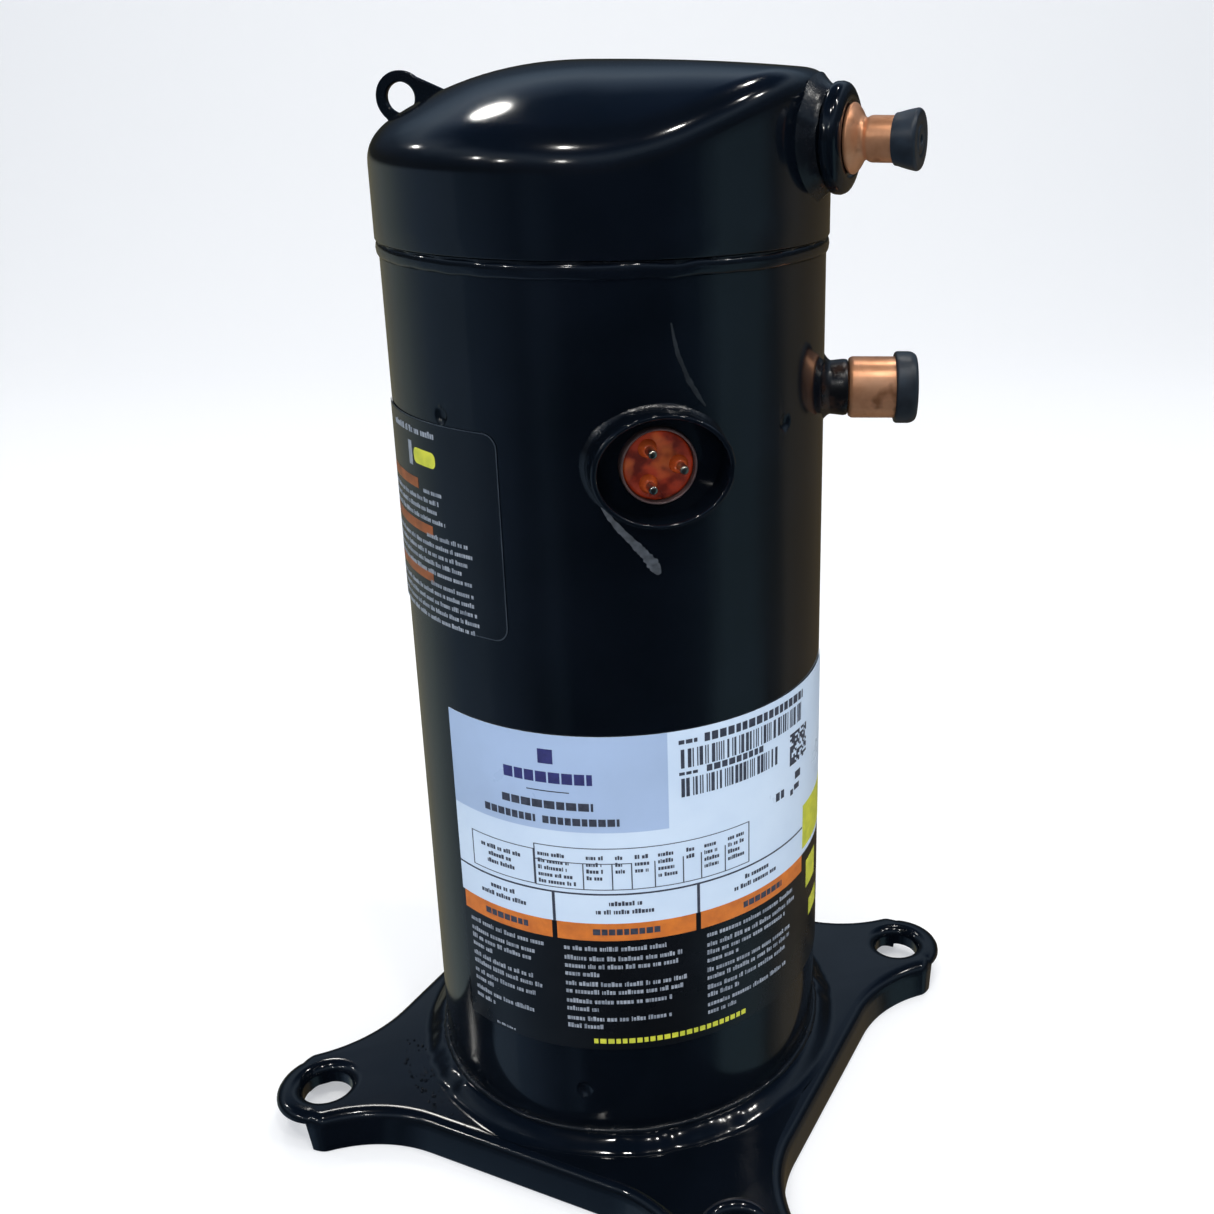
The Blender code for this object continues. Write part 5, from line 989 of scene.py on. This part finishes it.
def makeTerminal():
    end = outwardReach("terminal_fence", terminalAngle)[1]
    radius, wall = fenceRadius, terminal["fenceWall"]
    corners = [(radius - wall, shellRadius - 9 * mm, 0), (radius - wall, end - 0.5 * mm, 0.5 * mm),
               (radius - wall + 0.6 * mm, end, 0.5 * mm), (radius - 0.5 * mm, end, 0.5 * mm),
               (radius, end - 0.7 * mm, 0.6 * mm), (radius, end - 5 * mm, 0), (radius, shellRadius - 9 * mm, 0)]

    def lumps(turn, along):
        return 0.006 * noise.noise(Vector((math.cos(turn) * 2, math.sin(turn) * 2, along * 60)))

    rows = outwardRows(roundedProfile(corners, 4), 128, terminalAngle, terminalHeight, lumps, fenceFlat)
    fence = finishPiece(ringPiece("terminalFence", rows, closed=True), "paint", 50)
    notch = terminal["notch"]
    bpy.ops.mesh.primitive_cube_add(size=1, location=(0, 0, 0))
    cutter = bpy.context.object
    for vertex in cutter.data.vertices:
        spread = 1.25 if vertex.co.x > 0 else 0.8
        vertex.co = outwardPoint(terminalAngle, terminalHeight, radius - wall / 2 + vertex.co.y * 4 * wall,
                                 -1.5 * mm + vertex.co.z * notch * spread, end + vertex.co.x * notch)
    cutWith(fence, cutter)
    settleNormals(fence, 45)
    ride(fence, "black_paint", "terminal_fence")
    rows = []
    for step in range(9):
        share = step / 8
        row = []
        for index in range(128):
            turn = fullTurn * index / 128
            bulge = 0.3 * noise.noise(Vector((math.cos(turn) * 3, math.sin(turn) * 3, 5.0)))
            flare = (1 + bulge) * 2.2 * mm * (1 - share) ** 1.9 - 0.2 * mm
            side, up = (radius + flare) * math.cos(turn), (radius * fenceFlat + flare) * math.sin(turn)
            row.append(outwardPoint(terminalAngle, terminalHeight, side, up,
                                    math.sqrt(shellRadius ** 2 - side ** 2) - 0.4 * mm + 2.4 * mm * share))
        rows.append(row)
    rows.append([outwardPoint(terminalAngle, terminalHeight, (radius - 1.2 * mm) * math.cos(fullTurn * index / 128),
                              (radius * fenceFlat - 1.2 * mm) * math.sin(fullTurn * index / 128),
                              shellRadius - 6 * mm) for index in range(128)])
    ride(finishPiece(ringPiece("fenceFillet", rows, closed=True), "weldPaint", 70), "black_paint")
    start, end = outwardReach("terminal_cup", terminalAngle)
    radius = cupRadius
    corners = [(radius - 0.9 * mm, start, 0), (radius - 0.9 * mm, end - 0.4 * mm, 0.3 * mm),
               (radius - 0.45 * mm, end, 0.3 * mm), (radius, end - 0.6 * mm, 0.4 * mm), (radius, start, 0)]
    rows = outwardRows(roundedProfile(corners, 4), 96, terminalAngle, terminalHeight)
    ride(finishPiece(ringPiece("terminalCup", rows, closed=True), "cupRim", 50), "plain_steel", "terminal_cup")
    start, end = outwardReach("terminal_insulator", terminalAngle)
    end += 2.0 * mm  # the glass bulges up to just under the rim
    rows = []
    for share, along in ((1.0, start), (1.0, end - 0.9 * mm), (0.97, end - 0.35 * mm), (0.92, end - 0.1 * mm),
                         (0.72, end - 0.25 * mm), (0.52, end - 0.45 * mm), (0.26, end - 0.35 * mm),
                         (0.07, end - 0.3 * mm)):
        row = []
        for index in range(96):
            turn = fullTurn * index / 96
            side = share * (cupRadius - 1.0 * mm) * math.cos(turn)
            up = share * (cupRadius - 1.0 * mm) * math.sin(turn)
            lift = 0.28 * mm * noise.noise(Vector((side * 260, up * 260, 2.0))) if along > end - 0.6 * mm else 0
            row.append(outwardPoint(terminalAngle, terminalHeight, side, up, min(along + lift, end)))
        rows.append(row)
    seal = ringPiece("terminalSeal", rows)
    closePole(seal, rows[0], outwardPoint(terminalAngle, terminalHeight, 0, 0, start))
    closePole(seal, rows[-1], outwardPoint(terminalAngle, terminalHeight, 0, 0, end - 0.3 * mm))
    ride(finishPiece(seal, "insulator", 60), "insulator", "terminal_insulator")
    for number in (1, 2, 3):
        node = f"terminal_pin_{number}"
        centre = nodeCentre(node)
        side = centre.dot(Vector((-math.sin(terminalAngle), math.cos(terminalAngle), 0)))
        up = centre.z - terminalHeight
        low, high = outwardReach(node, terminalAngle)
        thick = terminal["pinRadius"]

        def offsetRows(profile, segments):
            return [[outwardPoint(terminalAngle, terminalHeight, side + radius * math.cos(fullTurn * index / segments),
                                  up + radius * math.sin(fullTurn * index / segments), along)
                     for index in range(segments)] for radius, along in profile]

        profile = [(thick, low)] + [(thick, high - 0.9 * mm), (thick * 0.95, high - 0.5 * mm),
                                    (thick * 0.8, high - 0.15 * mm), (thick * 0.5, high)]
        rows = offsetRows(profile, 24)
        pin = ringPiece(f"terminalPin{number}", rows)
        closePole(pin, rows[0], outwardPoint(terminalAngle, terminalHeight, side, up, low))
        closePole(pin, rows[-1], outwardPoint(terminalAngle, terminalHeight, side, up, high))
        ride(finishPiece(pin, "nickel", 50), "nickel", node)
        profile = [(3.4 * mm, end - 0.8 * mm), (3.2 * mm, end + 0.2 * mm), (2.8 * mm, end + 1.2 * mm),
                   (2.3 * mm, end + 2.2 * mm), (1.9 * mm, end + 2.7 * mm), (1.5 * mm, end + 2.8 * mm),
                   (1.3 * mm, end - 0.8 * mm)]
        collar = ringPiece(f"pinCollar{number}", offsetRows(profile, 32), closed=True)
        ride(finishPiece(collar, "collar", 60), "insulator")
    print("terminal made")


# films and printed blocks are drawn flat and then wrapped round the shell
labels = {"radius": 82.3 * mm, "film": 0.22 * mm, "ink": 0.06 * mm, "stripe": 4.0 * mm}
degreeLength = math.radians(1) * labels["radius"]


def flatBlocks(name, blocks, base, thick):
    # blocks are (left angle, right angle, low, high) in degrees and millimetres
    bpy.ops.object.select_all(action="DESELECT")
    first = True
    for left, right, low, high in blocks:
        size = ((right - left) * degreeLength, thick, (high - low) * mm)
        centre = ((left + right) / 2 * degreeLength, -base - thick / 2, (low + high) / 2 * mm)
        if first:
            bpy.ops.mesh.primitive_cube_add(size=1, location=(0, 0, 0))
            piece = bpy.context.object
            piece.name = name
            piece.data.name = name
            bpy.ops.object.mode_set(mode="EDIT")
            bpy.ops.transform.resize(value=size)
            bpy.ops.transform.translate(value=centre)
            first = False
        else:
            bpy.ops.mesh.primitive_cube_add(size=1, location=centre, scale=size)
    return piece


def flatSheet(name, left, right, low, high, base, thick, corner):
    piece = flatBlocks(name, [(left, right, low, high)], base, thick)
    bpy.ops.mesh.select_mode(type="EDGE")
    work = bmesh.from_edit_mesh(piece.data)
    for edge in work.edges:
        run = edge.verts[0].co - edge.verts[1].co
        edge.select_set(abs(run.y) > 10 * max(abs(run.x), abs(run.z)))
    bmesh.update_edit_mesh(piece.data)
    bpy.ops.mesh.bevel(offset=corner, segments=6, affect="EDGES")
    bpy.ops.mesh.select_mode(type="VERT")
    return piece


def wrapOnShell(piece, material, smoothAngle=30):
    work = bmesh.from_edit_mesh(piece.data)
    low = min(vertex.co.x for vertex in work.verts)
    high = max(vertex.co.x for vertex in work.verts)
    place = math.ceil(low / labels["stripe"]) * labels["stripe"]
    while place < high:
        bpy.ops.mesh.select_all(action="SELECT")
        bpy.ops.mesh.bisect(plane_co=(place, 0, 0), plane_no=(1, 0, 0))
        place += labels["stripe"]
    work = bmesh.from_edit_mesh(piece.data)
    for vertex in work.verts:
        angle = vertex.co.x / labels["radius"]
        radius = labels["radius"] - vertex.co.y
        vertex.co = (radius * math.cos(angle), radius * math.sin(angle), vertex.co.z)
    bmesh.update_edit_mesh(piece.data)
    bpy.ops.mesh.select_all(action="SELECT")
    bpy.ops.mesh.normals_make_consistent(inside=False)
    bpy.ops.object.mode_set(mode="OBJECT")
    piece.data.materials.clear()
    piece.data.materials.append(materials[material])
    bpy.ops.object.shade_smooth_by_angle(angle=math.radians(smoothAngle))
    return piece


def wordBlocks(draw, left, right, low, high, wordMin=2.0, wordMax=6.0, gap=0.8, fill=1.0):
    # a line of plain blocks of random lengths, standing for small print
    blocks = []
    place = left
    end = left + (right - left) * fill
    while place < end:
        width = draw.uniform(wordMin, wordMax)
        blocks.append((place, min(place + width, end), low, high))
        place += width + gap
    return [block for block in blocks if block[1] - block[0] > 0.3]


def smallPrint(draw, left, right, low, high, fill=1.0):
    # a line of tiny plain strokes in word groups, too small to be letters
    blocks = []
    size = (high - low) / degreeLength * mm
    place, end = left, left + (right - left) * fill
    while place < end:
        for _ in range(draw.randint(2, 8)):
            width = size * draw.choice((0.3, 0.5, 0.62, 0.62, 0.75))
            if place + width < end:
                rise = draw.choice((0, 0, 0, 0.3)) * (high - low)
                blocks.append((place, place + width, low, high + rise))
            place += width + 0.2 * size
        place += 0.55 * size
    return blocks


def bars(draw, left, right, low, high):
    blocks = []
    place = left
    while place < right:
        width = draw.choice((0.32, 0.32, 0.6, 0.95))
        blocks.append((place, place + width, low, high))
        place += width + draw.choice((0.35, 0.35, 0.6, 0.9))
    return blocks


def makeNameplate():
    draw = random.Random(11)
    film, ink = labels["film"], labels["ink"]
    pale = wrapOnShell(flatBlocks("nameplateFilm", [(-156.6, -24, 118.6, 196.5)], 0, film), "filmPale")
    ride(pale, "label_film", "nameplate_label")
    ride(wrapOnShell(flatBlocks("nameplateLowerFilm", [(-156.6, -24, 61, 118.6)], 0, film), "filmBlack"),
         "label_film")
    panel = flatBlocks("nameplatePanel", [(-156.6, -94.4, 157.5, 196.5)], film, 0.02 * mm)
    ride(wrapOnShell(panel, "filmBlue"), "label_film")
    dark = []
    dark += bars(draw, -91.0, -48.5, 181.2, 188.8) + bars(draw, -91.0, -60.5, 169.4, 177.0)
    dark += wordBlocks(draw, -91.5, -86.5, 191.0, 192.6, 1.2, 1.8, 0.4)
    dark += wordBlocks(draw, -84.5, -47.5, 190.4, 193.8, 1.4, 2.2, 0.55)
    dark += wordBlocks(draw, -91.5, -86.5, 178.4, 179.6, 1.2, 1.8, 0.4)
    dark += wordBlocks(draw, -84.0, -66.0, 178.0, 180.6, 1.2, 1.9, 0.5)
    for column in range(11):
        for row in range(13):
            if draw.random() < 0.55:
                left, low = -54.4 + column * 0.88, 164.4 + row * 1.05
                dark.append((left, left + 0.88, low, low + 1.05))
    dark += [(-51.5, -48.5, 157.0, 160.2), (-60.8, -59.2, 153.0, 156.5), (-58.6, -57.2, 153.0, 156.5),
             (-52.0, -49.2, 152.4, 154.8), (-54.0, -52.6, 151.2, 153.6)]
    dark += [(-156.6, -46.5, 131.0, 131.7)]  # rule across the film
    dark += [(-125.6, -124.8, 118.6, 131.0), (-87.2, -86.4, 118.6, 131.0)]
    for left, right, low, high in ((-150.4, -130.0, 133.4, 148.6), (-130.0, -71.0, 133.2, 151.0)):
        dark += [(left, right, low, low + 0.3), (left, right, high - 0.3, high), (left, left + 0.3, low, high),
                 (right - 0.3, right, low, high)]
    for place in (-117.0, -109.5, -104.5, -98.5, -91.0, -86.0, -79.0):
        dark.append((place, place + 0.3, 133.2, 144.6))
    dark.append((-130.0, -104.5, 144.3, 144.6))
    for line, (left, right) in enumerate(((-147, -134), (-144.5, -137), (-145, -136))):
        dark += smallPrint(draw, left, right, 143.6 - line * 3.2, 145.0 - line * 3.2)
    for left, right, lines in ((-129, -118, 5), (-116, -110.5, 4), (-108.5, -105.5, 3), (-103.5, -99.5, 3),
                               (-97.5, -92, 4), (-90, -87, 2), (-85, -80, 4), (-78, -72.5, 4)):
        for line in range(lines):
            low = 146.2 - line * 2.9
            dark += smallPrint(draw, left, right, low, low + 1.3, draw.uniform(0.7, 1.0))
    for left, right in ((-148, -133), (-114, -98), (-76, -60)):
        dark += smallPrint(draw, left + 3.5, right - 3.5, 126.4, 127.9)
        dark += smallPrint(draw, left, right, 122.8, 124.3)
    dark += wordBlocks(draw, -138.5, -113.5, 166.4, 169.6, 2.0, 2.9, 0.45)
    dark += wordBlocks(draw, -144.5, -129.0, 160.2, 163.2, 1.4, 2.1, 0.4)
    dark += wordBlocks(draw, -127.0, -107.0, 160.2, 163.2, 1.4, 2.1, 0.4)
    navy = wordBlocks(draw, -137.5, -113.5, 177.0, 181.4, 2.3, 3.1, 0.5) + [(-127.4, -123.4, 184.8, 190.6)]
    dark += [(-131.0, -119.5, 173.4, 173.8)]
    piece = wrapOnShell(flatBlocks("nameplatePrint", dark, film + 0.01 * mm, ink), "inkDark")
    ride(piece, "label_film")
    ride(wrapOnShell(flatBlocks("nameplateHeading", navy, film + 0.01 * mm, ink), "inkNavy"), "label_film")
    orange = [(-155.6, -126.0, 111.0, 118.6), (-124.6, -87.6, 111.0, 118.6), (-86.2, -46.6, 111.0, 118.6)]
    ride(wrapOnShell(flatBlocks("noticeBars", orange, film, ink * 0.5), "inkOrange"), "label_film")
    heads = []
    for left, right in ((-147, -133), (-115, -97), (-73, -58)):
        heads += wordBlocks(draw, left, right, 113.6, 116.2, 1.3, 2.0, 0.35)
    ride(wrapOnShell(flatBlocks("noticeHeads", heads, film + 0.02 * mm, ink), "inkDark"), "label_film")
    white = []
    for left, right in ((-153.5, -128), (-123, -89.5), (-84.5, -50)):
        for line, low in enumerate((106.4, 102.0, 98.4, 94.8, 90.4, 86.8, 82.4, 78.8, 74.4, 70.8)):
            fill = 0.3 if line in (3, 7, 9) else draw.uniform(0.8, 1.0)
            white += smallPrint(draw, left, right, low, low + 1.55, fill)
    white += smallPrint(draw, -146, -139, 62.4, 63.2)
    ride(wrapOnShell(flatBlocks("noticeLines", white, film + 0.01 * mm, ink), "inkWhite"), "label_film")
    yellow = [(-46.2, -24.2, 121.0, 141.0), (-43.0, -34.0, 100.0, 113.0), (-40.0, -31.0, 84.0, 92.0)]
    yellow += wordBlocks(draw, -116.0, -72.0, 64.0, 66.2, 1.1, 1.7, 0.5)
    ride(wrapOnShell(flatBlocks("yellowPrint", yellow, film + 0.01 * mm, ink), "inkYellow"), "label_film")
    print("nameplate made")


def makeCautionLabel():
    draw = random.Random(23)
    film, ink = labels["film"], labels["ink"]
    edge = flatSheet("cautionFilmEdge", -190.3, -133.5, 230.2, 305.6, 0, film * 0.5, 5.3 * mm)
    ride(wrapOnShell(edge, "filmEdge"), "caution_film")
    sheet = flatSheet("cautionFilm", -190, -133.8, 230.6, 305.2, 0, film, 5 * mm)
    ride(wrapOnShell(sheet, "filmSmoke"), "caution_film", "caution_label")
    white = smallPrint(draw, -176, -152, 299.8, 301.6) + [(-166.6, -164.6, 287.6, 296.5)]
    for first, lines, left, right in ((279.0, 4, -184, -150), (262.6, 5, -184, -141), (244.2, 5, -184, -141)):
        for line in range(lines):
            low = first - 3.5 * line
            white += smallPrint(draw, left if line else -160, right, low, low + 1.35, draw.uniform(0.84, 1.0))
    ride(wrapOnShell(flatBlocks("cautionLines", white, film + 0.01 * mm, ink), "inkWhite"), "caution_film")
    orange = [(-184, -162.5, 279.6, 283.4), (-184, -157, 263.4, 267.2), (-184, -158.5, 245.2, 248.8)]
    ride(wrapOnShell(flatBlocks("cautionBars", orange, film + 0.01 * mm, ink), "inkRust"), "caution_film")
    patch = flatSheet("cautionPatch", -163.6, -153.6, 289.0, 294.8, film + 0.01 * mm, ink, 2.2 * mm)
    ride(wrapOnShell(patch, "inkYellow"), "caution_film")
    print("caution label made")


# painted highlights: grey ribbons on the shell standing in for streaks of reflected light; each point is heading in
# degrees, height and width in millimetres
highlightStreaks = {"lower": ("paintedHighlight", [(-108.8, 283.0, 0.6), (-106.6, 278.0, 1.8), (-104.2, 273.6, 2.3), (-102.1, 270.3, 2.7),
                               (-100.2, 267.2, 3.1), (-98.6, 264.5, 3.5), (-97.0, 261.4, 4.1), (-95.9, 258.8, 3.4),
                               (-95.3, 257.0, 1.2)]),
           "upper": ("faintPaintedHighlight", [(-91.2, 343.0, 0.5), (-90.6, 338.0, 1.3), (-89.7, 332.4, 1.6), (-88.4, 328.0, 1.3),
                                    (-87.3, 323.9, 1.9), (-84.6, 317.6, 1.6), (-83.0, 314.4, 0.6)])}


# lays each painted highlight streak as a thin grey ribbon just over the shell
def makeHighlightStreaks():
    draw = random.Random(5)
    for name, (finish, marks) in highlightStreaks.items():
        path = []
        for first, second in zip(marks, marks[1:]):
            for step in range(5):
                share = step / 5
                mixed = [one + (other - one) * share for one, other in zip(first, second)]
                path.append((mixed[0], mixed[1], mixed[2] * draw.uniform(0.78, 1.15)))
        path.append(marks[-1])
        left, right = [], []
        for index, (angle, height, width) in enumerate(path):
            here = Vector((angle * degreeLength, height * mm))
            before = Vector((path[max(index - 1, 0)][0] * degreeLength, path[max(index - 1, 0)][1] * mm))
            last = path[min(index + 1, len(path) - 1)]
            after = Vector((last[0] * degreeLength, last[1] * mm))
            across = (after - before).normalized()
            across = Vector((across.y, -across.x)) * width * mm / 2
            left.append(here + across)
            right.append(here - across)

        def onShell(flat, lift):
            angle = flat.x / labels["radius"]
            radius = shellRadius + lift
            return Vector((radius * math.cos(angle), radius * math.sin(angle), flat.y))

        rows = []
        for lift, shrink in ((-0.1 * mm, 0.0), (0.02 * mm, 0.0), (0.05 * mm, 0.12)):
            ring = []
            for one, other in zip(left, right):
                ring.append(onShell(one + (other - one) * shrink, lift))
            for one, other in reversed(list(zip(left, right))):
                ring.append(onShell(other + (one - other) * shrink, lift))
            rows.append(ring)
        piece = ringPiece(f"{name}HighlightRibbon", rows)
        for row in (rows[0], rows[-1]):
            fillRow(piece, row)
            bpy.ops.mesh.quads_convert_to_tris()
        bpy.ops.mesh.select_all(action="SELECT")
        ride(finishPiece(piece, finish, 60), "black_paint")


spatter = {"count": 70, "smallest": 0.25, "largest": 0.8}


def makeSpatter():
    # weld spatter on the plate beside the left foot and low on the shell
    draw = random.Random(3)
    bpy.ops.object.select_all(action="DESELECT")
    drops = []
    for index in range(spatter["count"]):
        size = draw.uniform(spatter["smallest"], spatter["largest"]) * mm
        if index % 3:
            angle, reach = math.radians(draw.gauss(-172, 9)), shellRadius + draw.uniform(10.5, 20) * mm
            drops.append((reach * math.cos(angle), reach * math.sin(angle), plateTop + 0.1 * size, size))
        else:
            angle = math.radians(draw.uniform(-186, -150))
            drops.append((shellRadius * math.cos(angle), shellRadius * math.sin(angle),
                          plateTop + draw.uniform(7, 24) * mm, size))
    x, y, z, size = drops[0]
    bpy.ops.mesh.primitive_ico_sphere_add(subdivisions=1, radius=size, location=(0, 0, 0))
    piece = bpy.context.object
    piece.name = piece.data.name = "weldSpatter"
    bpy.ops.object.mode_set(mode="EDIT")
    bpy.ops.transform.translate(value=(x, y, z))
    for x, y, z, size in drops[1:]:
        bpy.ops.mesh.primitive_ico_sphere_add(subdivisions=1, radius=size, location=(x, y, z))
    bpy.ops.object.mode_set(mode="OBJECT")
    piece.data.materials.clear()
    piece.data.materials.append(materials["weldPaint"])
    bpy.ops.object.shade_smooth()
    ride(piece, "black_paint")


# inner pieces keep their CAD shape and get a worked finish
innerFinish = {
    "steel": ["crankshaft", "oil_pickup", "counterweight_shield", "suction_baffle", "floating_seal",
              "check_valve_retainer", "check_valve_disc", "drive_bush", "scroll_bolt_1", "scroll_bolt_2",
              "scroll_bolt_3", "scroll_bolt_4"],
    "castIron": ["main_bearing_housing", "lower_bearing_housing", "upper_counterweight", "lower_counterweight",
                 "oldham_ring", "oldham_key_1", "oldham_key_2", "oldham_key_3", "oldham_key_4"],
    "scrollIron": ["orbiting_scroll", "non_orbiting_scroll"],
    "bronze": ["main_bearing_bush", "lower_bearing_bush", "orbiting_hub_bearing", "pressure_relief_valve"],
    "plastic": ["terminal_connector", "motor_protector"],
    "sleeve": ["lead_wire_1", "lead_wire_2", "lead_wire_3"],
    "laminations": ["rotor", "stator_core"],
    "winding": ["winding_upper", "winding_lower"],
    "ferrite": ["sump_magnet"],
    "weldPaint": ["partition_plate"],
}


def finishInnerPieces():
    for finish, nodes in innerFinish.items():
        for node in nodes:
            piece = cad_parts[node]
            piece.data.materials.clear()
            piece.data.materials.append(materials[finish])


bpy.context.scene.view_settings.view_transform = "Standard"
addCamera()
addStage()
addWorld()
addLights()
print("studio made")
makeBasePlate()
print("base plate made")
makeShell()
makeSeams()
makeCap()
print("shell and cap made")
makeBoss()
makeDischargeStub()
makeSuctionStub()
makeLiftingEye()
print("stubs and lifting eye made")
makeTerminal()
makeNameplate()
makeCautionLabel()
makeHighlightStreaks()
makeSpatter()
finishInnerPieces()
bpy.ops.object.select_all(action="DESELECT")
